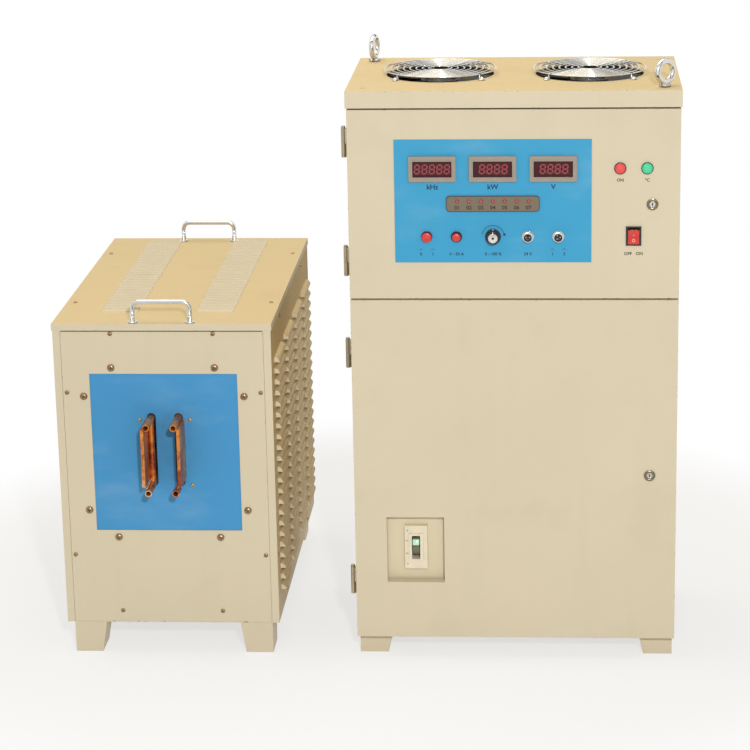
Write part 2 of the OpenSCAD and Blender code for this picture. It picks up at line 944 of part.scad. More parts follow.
module door_leaf_at(z) {
    translate([hinge_x, hinge_y, z + knuckle_gap / 2]) hinge_leaf(door_leaf_l, hinge_out + door_inset, false);
}

module hinge_lower_leaves() {
    color(steel) in_power() for (i = [0, 1]) door_leaf_at(hinge_zs[i]);
}

module hinge_upper_leaves() {
    color(steel) in_power() for (i = [2, 3]) door_leaf_at(hinge_zs[i]);
}

module hinge_pins() {
    color(steel) in_power() for (z = hinge_zs) translate([hinge_x, hinge_y, z]) {
        translate([0, 0, -knuckle_l - knuckle_gap / 2])
            cylinder(r = hinge_pin_r, h = 2 * knuckle_l + 2 * knuckle_gap + pin_cap_h / 2);
        translate([0, 0, knuckle_l + knuckle_gap / 2 + knuckle_gap]) cylinder(r = pin_cap_r, h = pin_cap_h);
    }
}

module lock_barrel(z) {
    difference() {
        union() {
            rod_y(lock_x, z, lock_face_r, -lock_face_t, 0);
            rod_y(lock_x, z, lock_barrel_r, -lock_face_t / 2, lock_end);
            translate([lock_x, sheet + lock_nut_t, z]) rotate([90, 0, 0])
                cylinder(r = lock_nut_r, h = lock_nut_t, $fn = 6);
        }
        rod_y(lock_x, z, lock_plug_r + run_fit, -lock_face_t - cut, lock_end + cut);
    }
}

// The key plug with the cam on its end, pointing down when unlocked
module lock_cam(z) {
    y0 = lock_end + cam_room;
    difference() {
        rod_y(lock_x, z, lock_plug_r, fit - lock_face_t, y0 + cam_t / 2);
        block_y(lock_x, z, lock_slot_w, lock_slot_l, -lock_face_t - cut, fit - lock_face_t + lock_slot_d);
    }
    box([lock_x - cam_w / 2, y0, z - cam_l], [lock_x + cam_w / 2, y0 + cam_t, z + cam_w / 2]);
}

module upper_lock_barrel() {
    color(steel) in_power() lock_barrel(lock_upper_z);
}

module upper_lock_cam() {
    color(steel) in_power() lock_cam(lock_upper_z);
}

module lower_lock_barrel() {
    color(steel) in_power() lock_barrel(lock_lower_z);
}

module lower_lock_cam() {
    color(steel) in_power() lock_cam(lock_lower_z);
}

// What the control panel carries

module panel_meters() {
    body_w = meter_w - 2 * meter_body_inset;
    body_h = meter_h - 2 * meter_body_inset;
    color([0.6, 0.57, 0.5]) in_power() for (i = [-1:1]) difference() {
        union() {
            block_y(panel_x + i * meter_pitch, panel_z + meter_rise, meter_w, meter_h, face_y - meter_lip,
                face_y);
            block_y(panel_x + i * meter_pitch, panel_z + meter_rise, body_w, body_h, face_y - cut,
                meter_body_d);
        }
        block_y(panel_x + i * meter_pitch, panel_z + meter_rise, glass_w, glass_h, face_y - meter_lip - cut,
            face_y - meter_lip + glass_recess);
    }
}

module meter_windows() {
    y1 = face_y - meter_lip + glass_recess;
    color([0.25, 0.08, 0.08]) in_power() for (i = [-1:1])
        block_y(panel_x + i * meter_pitch, panel_z + meter_rise, glass_w - fit, glass_h - fit,
            y1 - glass_t, y1);
}

module status_strip() {
    z = panel_z - strip_drop;
    color([0.52, 0.46, 0.44]) in_power() {
        slab_y(panel_x, z, face_y - strip_t, face_y) polygon(rounded(strip_w, strip_h, strip_corner_r));
        for (i = [0:light_count - 1])
            rod_y(panel_x + (i - (light_count - 1) / 2) * light_pitch, z + light_rise, light_r,
                face_y - strip_t - light_t, face_y - strip_t / 2);
    }
}

module push_button(x) {
    rod_y(x, row_z, button_r, face_y - collar_t - button_proud, button_stem_d);
}

module start_button() {
    color("red") in_power() push_button(start_x);
}

module stop_button() {
    color("red") in_power() push_button(stop_x);
}

// The ringed bodies of the two push buttons and of the two lamps
module panel_collars() {
    color(steel) in_power() {
        for (x = [start_x, stop_x])
            ringed_body(x, row_z, button_collar_r, button_r + run_fit, face_y,
                button_stem_d + button_travel + fit);
        for (x = [lamp_left_x, lamp_right_x])
            ringed_body(x, lamp_z, lamp_collar_r, lens_r + run_fit, 0, lens_seat_d);
    }
}

module ringed_body(x, z, ring_r, bore_r, seat_y, bore_end) {
    difference() {
        union() {
            rod_y(x, z, ring_r, seat_y - collar_t, seat_y);
            rod_y(x, z, collar_body_r, seat_y - collar_t / 2, collar_body_d);
        }
        rod_y(x, z, bore_r, seat_y - collar_t - cut, bore_end);
    }
}

module lamp_lens(x) {
    translate([x, lens_seat_d, lamp_z]) rotate([90, 0, 0]) rotate_extrude() polygon(concat(
        [[0, 0], [lens_r, 0]],
        arc_points(lens_r - lens_proud, lens_seat_d + collar_t, lens_proud, 0, 90),
        [[0, lens_seat_d + collar_t + lens_proud]]
    ));
}

module power_lamp() {
    color([0.88, 0.3, 0.3]) in_power() lamp_lens(lamp_left_x);
}

module heating_lamp() {
    color([0.3, 0.82, 0.62]) in_power() lamp_lens(lamp_right_x);
}

// The knob with its fluted grip, bright cap and shaft
module power_knob() {
    y1 = face_y - knob_room;
    color(dark) in_power() {
        difference() {
            union() {
                rod_y(knob_x, row_z, knob_r, y1 - knob_skirt_t, y1);
                rod_y(knob_x, row_z, knob_grip_r, y1 - knob_h, y1 - knob_skirt_t / 2);
                rod_y(knob_x, row_z, knob_cap_r, y1 - knob_h - knob_cap_t, y1 - knob_h + cut);
            }
            rod_y(knob_x, row_z, knob_recess_r, y1 - knob_recess_d, y1 + cut);
            for (i = [0:knob_flutes - 1]) {
                a = i * 360 / knob_flutes;
                rod_y(knob_x + knob_grip_r * cos(a), row_z + knob_grip_r * sin(a), flute_r,
                    y1 - knob_h - cut, y1 - knob_skirt_t);
            }
        }
        rod_y(knob_x, row_z, shaft_r, y1 - knob_recess_d - cut, shaft_end);
    }
}

module potentiometer() {
    color(steel) in_power() difference() {
        union() {
            rod_y(knob_x, row_z, bush_r, face_y - bush_proud, sheet + cut);
            rod_y(knob_x, row_z, pot_r, sheet, pot_d);
        }
        rod_y(knob_x, row_z, shaft_r + run_fit, face_y - bush_proud - cut, shaft_end + fit);
    }
}

module socket(x, pins) {
    base = face_y - socket_proud + socket_cavity_d;
    difference() {
        union() {
            rod_y(x, row_z, socket_r, face_y - socket_ring_t, face_y);
            rod_y(x, row_z, socket_tube_r, face_y - socket_proud, socket_end);
        }
        rod_y(x, row_z, socket_cavity_r, face_y - socket_proud - cut, base);
    }
    for (i = [0:pins - 1]) {
        a = i * 360 / pins;
        rod_y(x + socket_pin_circle * cos(a), row_z + socket_pin_circle * sin(a), socket_pin_r,
            base - socket_pin_l, base + cut);
    }
}

module socket_two_pin() {
    color(steel) in_power() socket(socket_two_x, 2);
}

module socket_three_pin() {
    color(steel) in_power() socket(socket_three_x, 3);
}

module rocker_frame() {
    color(dark) in_power() difference() {
        union() {
            block_y(rocker_x, rocker_z, rocker_frame_w, rocker_frame_h, -rocker_frame_t, 0);
            block_y(rocker_x, rocker_z, rocker_body_w, rocker_body_h, -rocker_frame_t / 2, rocker_body_d);
        }
        block_y(rocker_x, rocker_z, rocker_cavity_w, rocker_cavity_h, -rocker_frame_t - cut, rocker_cavity_d);
        rod_x(rocker_pivot_y, rocker_z, rocker_pin_r + run_fit, rocker_x - rocker_w / 2 - rocker_pin_l - fit,
            rocker_x + rocker_w / 2 + rocker_pin_l + fit);
    }
}

// The rocker's side outline, with a shallow valley between its two pressing faces
module power_rocker() {
    top = rocker_valley + rocker_wing + rocker_pivot_y;
    color([0.83, 0.3, 0.3]) in_power() translate([rocker_x, rocker_pivot_y, rocker_z])
        rotate([rocker_tilt, 0, 0]) {
        rotate([90, 0, 90]) translate([0, 0, -rocker_w / 2]) linear_extrude(rocker_w) polygon([
            [-top, -rocker_half_h], [-rocker_valley - rocker_pivot_y, 0], [-top, rocker_half_h],
            [rocker_shoulder_y - rocker_pivot_y, rocker_half_h],
            [rocker_foot_y - rocker_pivot_y, rocker_foot_half],
            [rocker_foot_y - rocker_pivot_y, -rocker_foot_half],
            [rocker_shoulder_y - rocker_pivot_y, -rocker_half_h]
        ]);
        rod_x(0, 0, rocker_pin_r, -rocker_w / 2 - rocker_pin_l, rocker_w / 2 + rocker_pin_l);
    }
}

// Circuit breaker behind the window

module breaker_plate() {
    x0 = sheet + fit - body_half;
    color(cream) in_power() difference() {
        box([x0, frame_y + sheet, body_floor],
            [x0 + breaker_plate_w, frame_y + 2 * sheet, body_floor + breaker_plate_h]);
        block_y(window_x, window_z, nose_w + 2 * fit, nose_h + 2 * fit, frame_y, frame_y + 3 * sheet);
    }
}

module breaker_body() {
    y0 = frame_y + 2 * sheet;
    color([0.92, 0.88, 0.78]) in_power() difference() {
        union() {
            block_y(window_x, window_z, breaker_w, breaker_h, y0, breaker_end);
            block_y(window_x, window_z, nose_w, nose_h, nose_y, y0 + cut);
            block_y(window_x, window_z, rim_w, rim_h, rim_y, nose_y + cut);
        }
        block_y(window_x, window_z, slot_w + 2 * fit, slot_h, rim_y - cut, slot_end);
        rod_x(handle_y, window_z, handle_pin_r + run_fit, window_x - handle_barrel_l / 2 - handle_pin_l - fit,
            window_x + handle_barrel_l / 2 + handle_pin_l + fit);
    }
}

module breaker_handle() {
    color([0.2, 0.28, 0.26]) in_power() translate([window_x, handle_y, window_z])
        rotate([-handle_tilt, 0, 0]) {
        rod_x(0, 0, handle_barrel_r, -handle_barrel_l / 2, handle_barrel_l / 2);
        rod_x(0, 0, handle_pin_r, -handle_barrel_l / 2 - handle_pin_l, handle_barrel_l / 2 + handle_pin_l);
        block_y(0, 0, handle_w, handle_t, -handle_l, 0);
    }
}

// Inside the power cabinet

module inverter_stack() {
    color([0.7, 0.71, 0.72]) in_power() {
        block_y(stack_x, body_floor + stack_h / 2, stack_w, stack_h, stack_y, stack_y + stack_t);
        box([stack_x - stack_w / 2, stack_y - stack_foot_d / 2, body_floor],
            [stack_x + stack_w / 2, stack_y + stack_t + stack_foot_d / 2, body_floor + stack_foot_t]);
        for (i = [-1, 1], k = [0, 1])
            block_y(stack_x + i * module_pitch_x / 2,
                body_floor + module_low + module_h / 2 + k * module_pitch_z, module_w, module_h,
                stack_y - module_d, stack_y + cut);
    }
}

module bus_capacitors() {
    color([0.3, 0.33, 0.36]) in_power() {
        for (i = [0:bank_count - 1])
            translate([bank_x + (i - (bank_count - 1) / 2) * bank_pitch, bank_y, body_floor]) {
                cylinder(r = bank_r, h = bank_h);
                cylinder(r = post_r, h = bank_h + post_h);
            }
        translate([bank_x - (bank_count - 1) / 2 * bank_pitch - bank_bar_end, bank_y - bank_bar_w / 2,
            body_floor + bank_h + post_h - bank_bar_t / 2])
            cube([(bank_count - 1) * bank_pitch + 2 * bank_bar_end, bank_bar_w, bank_bar_t]);
    }
}

// The control board on its folded bracket
module control_board() {
    shelf_top = door_split_h - door_gap / 2;
    mid_z = shelf_top + circuit_foot_t + circuit_h / 2;
    board_y = board_stand_y - circuit_gap;
    color([0.15, 0.45, 0.3]) in_power() {
        box([board_stand_x - circuit_w / 2, board_stand_y, shelf_top],
            [board_stand_x + circuit_w / 2, board_stand_y + circuit_foot_d, shelf_top + circuit_foot_t]);
        block_y(board_stand_x, mid_z, circuit_w, circuit_h + 2 * circuit_foot_t, board_stand_y,
            board_stand_y + circuit_back_t);
        block_y(board_stand_x, mid_z + circuit_foot_t, circuit_w, circuit_h, board_y - circuit_t, board_y);
        for (x = [-1, 1], z = [-1, 1])
            rod_y(board_stand_x + x * (circuit_w / 2 - 2 * standoff_r),
                mid_z + z * (circuit_h / 2 - 3 * standoff_r), standoff_r, board_y - circuit_t / 2,
                board_stand_y + circuit_back_t / 2);
        for (p = chip_places_share)
            block_y(board_stand_x + p[0] * circuit_w, mid_z + p[1] * circuit_h, chip_w, chip_h,
                board_y - circuit_t - chip_d, board_y - circuit_t / 2);
    }
}

// Fittings on the backs

module cable_gland(x, z, y) {
    difference() {
        union() {
            translate([x, y + gland_hex_t, z]) rotate([90, 0, 0])
                cylinder(r = gland_hex_r, h = gland_hex_t, $fn = 6);
            rod_y(x, z, gland_r, y + gland_hex_t / 2, y + gland_out);
            rod_y(x, z, gland_body_r, y - gland_in, y + gland_hex_t / 2);
        }
        rod_y(x, z, gland_bore_r, y - gland_in - cut, y + gland_out + cut);
    }
}

module cable_glands() {
    color(dark) {
        in_power() for (i = [0, 1])
            cable_gland(i * back_fitting_pitch - back_fitting_x, back_fitting_z, body_back);
        in_head() cable_gland(-head_fitting_x, head_fitting_z, head_back_y);
    }
}

// A brass hose tail with its barbs, revolved
module hose_tail(x, z, y) {
    neck = tail_out - barb_count * barb_l;
    translate([x, y, z]) rotate([-90, 0, 0]) {
        rotate_extrude() polygon(concat(
            [[tail_bore_r, -tail_in], [tail_body_r, -tail_in], [tail_body_r, 0], [tail_r - barb_drop, 0],
                [tail_r - barb_drop, neck]],
            [for (i = [0:barb_count - 1], k = [0, 1])
                [k == 0 ? tail_r : tail_r - barb_drop, neck + (i + k) * barb_l]],
            [[tail_bore_r, tail_out]]
        ));
        difference() {
            cylinder(r = tail_hex_r, h = tail_hex_t, $fn = 6);
            translate([0, 0, -cut]) cylinder(r = tail_body_r - barb_drop, h = tail_hex_t + 2 * cut);
        }
    }
}

module hose_tails() {
    color(brass) {
        in_power() for (i = [0, 1])
            hose_tail(back_fitting_x - i * back_fitting_pitch, back_fitting_z, body_back);
        in_head() for (i = [0, 1])
            hose_tail(head_fitting_x - i * back_fitting_pitch, head_fitting_z, head_back_y);
    }
}

// Head cabinet shell

module head_floor() {
    color(cream) in_head() box([-head_half, 0, head_foot_h], [head_half, head_back_y, head_base]);
}

module head_feet() {
    color(cream) in_head()
        four_feet(head_half, foot_setback, head_back_y - foot_setback, head_foot_w, head_foot_toe_w,
            head_foot_h, head_foot_inset);
}

// A side with its joggled front flange and its field of pressed louvres
module head_side() {
    edge = face_half + face_gap;
    color(cream) {
        difference() {
            translate([0, 0, head_base]) linear_extrude(head_under - head_base) polygon([
                [head_half, 0], [edge, 0], [edge, face_t], [edge - joggle_w, face_t],
                [edge - joggle_w, face_t + sheet], [edge + sheet, face_t + sheet], [edge + sheet, sheet],
                [head_half - sheet, sheet], [head_half - sheet, head_back_y - 2 * sheet],
                [head_half - head_rear_flange_w, head_back_y - 2 * sheet],
                [head_half - head_rear_flange_w, head_back_y - sheet],
                [head_half - sheet, head_back_y - sheet], [head_half - sheet, head_back_y],
                [head_half, head_back_y]
            ]);
            side_louvres() louvre_slot(louvre_l, louvre_r);
        }
        side_louvres() louvre_hood(louvre_l, louvre_r);
    }
}

module side_louvres() {
    for (col = [0:side_column_count - 1], row = [0:louvre_rows - 1])
        translate([head_half, head_back_y / 2 + (col - (side_column_count - 1) / 2) * side_column_pitch,
            side_louvre_z0 + row * louvre_pitch]) rotate([90, 0, 90]) children();
}

module head_side_right() {
    in_head() head_side();
}

module head_side_left() {
    in_head() mirror([1, 0, 0]) head_side();
}

module head_back() {
    half = head_half - sheet - fit;
    color(cream) in_head() {
        difference() {
            box([-half, head_back_y - sheet, head_base], [half, head_back_y, head_under]);
            head_rear_louvres() louvre_slot(louvre_l, louvre_r);
            for (i = [0, 1])
                rod_y(head_fitting_x - i * back_fitting_pitch, head_fitting_z, tail_body_r + fit,
                    head_back_y - sheet - cut, head_back_y + cut);
            rod_y(-head_fitting_x, head_fitting_z, gland_body_r + fit, head_back_y - sheet - cut,
                head_back_y + cut);
        }
        head_rear_louvres() louvre_hood(louvre_l, louvre_r);
    }
}

module head_rear_louvres() {
    for (side = [-1, 1], row = [0:head_rear_rows - 1])
        translate([side * head_rear_pitch / 2, head_back_y, head_rear_z0 + row * louvre_pitch])
            rotate([90, 0, 180]) children();
}

module head_lid() {
    half = head_w / 2;
    color(cream) in_head() {
        difference() {
            box([-half, -sheet, head_h - head_edge_h], [half, head_d - sheet, head_h]);
            box([sheet - half, 0, head_h - head_edge_h - cut], [half - sheet, head_back_y, head_under]);
            lid_louvres() louvre_slot(lid_louvre_l, lid_louvre_r);
        }
        lid_louvres() louvre_hood(lid_louvre_l, lid_louvre_r);
    }
}

module lid_louvres() {
    for (side = [-1, 1], row = [0:lid_louvre_rows - 1])
        translate([side * lid_band_x, lid_band_start + (row + 1) * lid_louvre_pitch, head_h])
            rotate([0, 0, 180]) children();
}

module head_front() {
    color(cream) in_head() difference() {
        box([-face_half, 0, head_base], [face_half, face_t, head_under]);
        block_y(0, board_z, board_window_w, board_window_h, -cut, face_t + cut);
    }
}

// The board, with a round-ended slot for each terminal
module insulating_board() {
    color(board_blue) in_head() difference() {
        block_y(0, board_z, board_window_w + 2 * board_margin, board_window_h + 2 * board_margin,
            face_t, face_t + board_t);
        for (side = [-1, 1])
            slab_y(side * terminal_pitch / 2, slot_mid_z, face_t - cut, face_t + board_t + cut)
                polygon(rounded(slot_cut_w, slot_cut_h, slot_cut_w / 2));
    }
}

module carry_handles() {
    color(steel) in_head() for (y = [grip_front_y, head_d - sheet - grip_rear_inset])
        translate([0, y, head_h]) carry_handle();
}

module carry_handle() {
    rise = grip_h - grip_bar_d / 2 - grip_bend_r;
    run = grip_span / 2 - grip_bend_r;
    for (side = [0, 1]) mirror([side, 0, 0]) {
        translate([grip_span / 2, 0, 0]) {
            cylinder(r = grip_foot_r, h = grip_foot_t);
            cylinder(d = grip_bar_d, h = rise);
        }
        translate([run, 0, rise]) rotate([90, 0, 0])
            rotate_extrude(angle = 90) translate([grip_bend_r, 0]) circle(d = grip_bar_d);
    }
    rod_x(0, rise + grip_bend_r, grip_bar_d / 2, -run, run);
}

// A copper terminal: two tubes through the board, the riser between them and the plate brazed to it
module terminal() {
    x = terminal_pitch / 2;
    bar_x = x + bar_offset - bar_t / 2;
    difference() {
        union() {
            for (z = [tube_low_z, tube_high_z]) rod_y(x, z, tube_r, tube_y0, winding_y0);
            translate([x, riser_y, tube_low_z]) cylinder(r = riser_r, h = tube_rise);
            box([bar_x, bar_y0, tube_low_z + bar_low], [bar_x + bar_t, bar_y1, tube_high_z - bar_high_sink]);
        }
        for (z = [tube_low_z, tube_high_z]) rod_y(x, z, tube_bore_r, tube_y0 - cut, tube_y0 + tube_bore_l);
    }
}

module terminal_right() {
    color(copper) in_head() terminal();
}

module terminal_left() {
    color(copper) in_head() mirror([1, 0, 0]) terminal();
}

// Inside the head cabinet

module transformer_core() {
    leg_y0 = winding_y0 + winding_wall + core_gap;
    open_w = winding_wall + 2 * core_gap;
    half = core_leg_half + open_w + core_side_w;
    high = winding_h / 2 + core_gap;
    color([0.28, 0.27, 0.27]) in_head() {
        difference() {
            block_y(0, slot_mid_z, 2 * half, 2 * (high + core_yoke_h), leg_y0, leg_y0 + core_leg_d);
            for (side = [-1, 1])
                block_y(side * (core_leg_half + open_w / 2), slot_mid_z, open_w, 2 * high, leg_y0 - cut,
                    leg_y0 + core_leg_d + cut);
        }
        for (side = [-1, 1])
            translate([side * (half - core_post_w / 2), 0, 0])
                box([-core_post_w / 2, leg_y0 + (core_leg_d - core_post_d) / 2, head_base],
                    [core_post_w / 2, leg_y0 + (core_leg_d + core_post_d) / 2,
                        slot_mid_z - high - core_yoke_h + cut]);
    }
}

module transformer_winding() {
    inner_w = 2 * (core_leg_half + core_gap);
    inner_d = core_leg_d + 2 * core_gap;
    mid_y = winding_y0 + winding_wall + inner_d / 2;
    color(copper) in_head() translate([0, mid_y, slot_mid_z - winding_h / 2]) difference() {
        linear_extrude(winding_h)
            polygon(rounded(inner_w + 2 * winding_wall, inner_d + 2 * winding_wall, winding_wall / 2));
        translate([-inner_w / 2, -inner_d / 2, -cut]) cube([inner_w, inner_d, winding_h + 2 * cut]);
    }
}

module tank_capacitors() {
    tank_top = head_base + tank_rail_h + tank_h;
    color([0.5, 0.5, 0.48]) in_head() {
        box([-tank_rail_w / 2, tank_y0, head_base],
            [tank_rail_w / 2, tank_y0 + tank_d, head_base + tank_rail_h]);
        for (i = [0:tank_count - 1]) {
            x = (i - (tank_count - 1) / 2) * tank_pitch;
            box([x - tank_w / 2, tank_y0, head_base + tank_rail_h / 2],
                [x + tank_w / 2, tank_y0 + tank_d, tank_top]);
            translate([x, tank_y0 + tank_d / 2, tank_top - cut])
                cylinder(r = tank_bar_w / 2, h = tank_bar_w / 2 + cut);
        }
        translate([-tank_bar_l / 2, tank_y0 + tank_d / 2 - tank_bar_w / 2,
            tank_top + tank_bar_w / 2 - tank_bar_t / 2]) cube([tank_bar_l, tank_bar_w, tank_bar_t]);
    }
}

cabinet_side_left();
cabinet_side_right();
cabinet_back();
cabinet_floor();
cabinet_shelf();
cabinet_header();
cabinet_lid();
cabinet_feet();
lifting_eyes();
fan_housings();
fan_rotor_left();
fan_rotor_right();
fan_guards();
upper_door();
control_panel();
panel_meters();
meter_windows();
status_strip();
start_button();
stop_button();
panel_collars();
power_knob();
potentiometer();
socket_two_pin();
socket_three_pin();
power_lamp();
heating_lamp();
rocker_frame();
power_rocker();
upper_lock_barrel();
upper_lock_cam();
lower_lock_barrel();
lower_lock_cam();
lower_door();
hinge_fixed_leaves();
hinge_upper_leaves();
hinge_lower_leaves();
hinge_pins();
breaker_plate();
breaker_body();
breaker_handle();
inverter_stack();
bus_capacitors();
control_board();
cable_glands();
hose_tails();
head_floor();
head_feet();
head_side_left();
head_side_right();
head_back();
head_lid();
head_front();
insulating_board();
carry_handles();
terminal_left();
terminal_right();
transformer_core();
transformer_winding();
tank_capacitors();
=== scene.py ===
"""Looks of the induction heating machine: finishes, fasteners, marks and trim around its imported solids."""

import functools
import json
import logging
import math
from abc import ABC, abstractmethod
from collections.abc import Iterable, Sequence
from dataclasses import dataclass
from enum import Enum

import bmesh
import bpy
from mathutils import Matrix, Vector
from mathutils.bvhtree import BVHTree


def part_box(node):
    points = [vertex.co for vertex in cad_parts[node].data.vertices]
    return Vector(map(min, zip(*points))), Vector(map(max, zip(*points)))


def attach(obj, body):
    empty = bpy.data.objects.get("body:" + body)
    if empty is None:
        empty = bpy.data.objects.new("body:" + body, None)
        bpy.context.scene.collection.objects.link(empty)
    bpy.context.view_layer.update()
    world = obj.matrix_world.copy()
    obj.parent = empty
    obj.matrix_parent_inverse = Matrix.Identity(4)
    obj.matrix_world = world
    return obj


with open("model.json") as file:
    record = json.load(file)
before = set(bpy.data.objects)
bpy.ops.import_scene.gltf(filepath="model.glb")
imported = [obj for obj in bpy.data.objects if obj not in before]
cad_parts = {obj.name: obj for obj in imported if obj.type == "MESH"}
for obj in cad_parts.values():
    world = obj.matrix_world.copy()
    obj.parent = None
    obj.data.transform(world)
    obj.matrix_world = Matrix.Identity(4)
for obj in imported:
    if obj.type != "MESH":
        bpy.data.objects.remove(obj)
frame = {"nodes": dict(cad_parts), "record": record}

log = logging.getLogger("machine")

MM = 0.001
OUTSIDE_MM = 3000
FULL_TURN = 2 * math.pi
Colour = tuple[float, float, float]
Point = tuple[float, float, float]
Outline = Sequence[tuple[float, float]]
FRONT: Point = (0.0, -1.0, 0.0)
UP: Point = (0.0, 0.0, 1.0)
LEFT: Point = (-1.0, 0.0, 0.0)
RIGHT: Point = (1.0, 0.0, 0.0)


def srgb(red: int, green: int, blue: int) -> Colour:
    """Gives the linear colour of a colour written in 0 to 255.

    Args:
        red: Red share of the written colour.
        green: Green share of the written colour.
        blue: Blue share of the written colour.

    Returns:
        The three linear channels.
    """
    channels = [value / 255 for value in (red, green, blue)]
    return tuple(c / 12.92 if c <= 0.04045 else ((c + 0.055) / 1.055) ** 2.4 for c in channels)


def shade(colour: Colour, factor: float) -> Colour:
    """Gives a colour made lighter or darker by a factor.

    Args:
        colour: The linear colour.
        factor: What each channel is multiplied by.

    Returns:
        The new linear colour.
    """
    return tuple(min(1.0, c * factor) for c in colour)


class Value:
    """One socket of a material, which Python arithmetic extends with Math nodes."""

    def __init__(self, paint: "Paint", socket: bpy.types.NodeSocket) -> None:
        """Keeps the paint that the socket belongs to, and the socket."""
        self.paint = paint
        self.socket = socket

    def _math(self, operation: str, first: "Value | float", second: "Value | float") -> "Value":
        """Adds one Math node on two operands."""
        node = self.paint.node("ShaderNodeMath", {"operation": operation}, {0: first, 1: second})
        return Value(self.paint, node.outputs[0])

    def __add__(self, other: "Value | float") -> "Value":
        """Adds."""
        return self._math("ADD", self, other)

    __radd__ = __add__

    def __mul__(self, other: "Value | float") -> "Value":
        """Multiplies."""
        return self._math("MULTIPLY", self, other)

    __rmul__ = __mul__

    def __sub__(self, other: "Value | float") -> "Value":
        """Subtracts the other from this."""
        return self._math("SUBTRACT", self, other)

    def __rsub__(self, other: "Value | float") -> "Value":
        """Subtracts this from the other."""
        return self._math("SUBTRACT", other, self)

    def least(self, other: "Value | float") -> "Value":
        """Takes the smaller of the two."""
        return self._math("MINIMUM", self, other)

    def most(self, other: "Value | float") -> "Value":
        """Takes the larger of the two."""
        return self._math("MAXIMUM", self, other)

    def size(self) -> "Value":
        """Takes the absolute value."""
        return self._math("ABSOLUTE", self, 0.0)

    def wave(self, period: float) -> "Value":
        """Repeats from 0 to 1 and back over a period, as a soft ripple."""
        return self._math("SINE", self * (FULL_TURN / period), 0.0) * 0.5 + 0.5

    def ramp(self, low: float, high: float) -> "Value":
        """Rises smoothly from 0 at low to 1 at high.

        Args:
            low: Where the result is 0.
            high: Where the result is 1, which may lie below low.

        Returns:
            The smoothed value.
        """
        if high < low:
            return 1.0 - self.ramp(high, low)
        node = self.paint.node("ShaderNodeMapRange", {"interpolation_type": "SMOOTHSTEP"},
                               {"Value": self, "From Min": low, "From Max": high})
        return Value(self.paint, node.outputs[0])


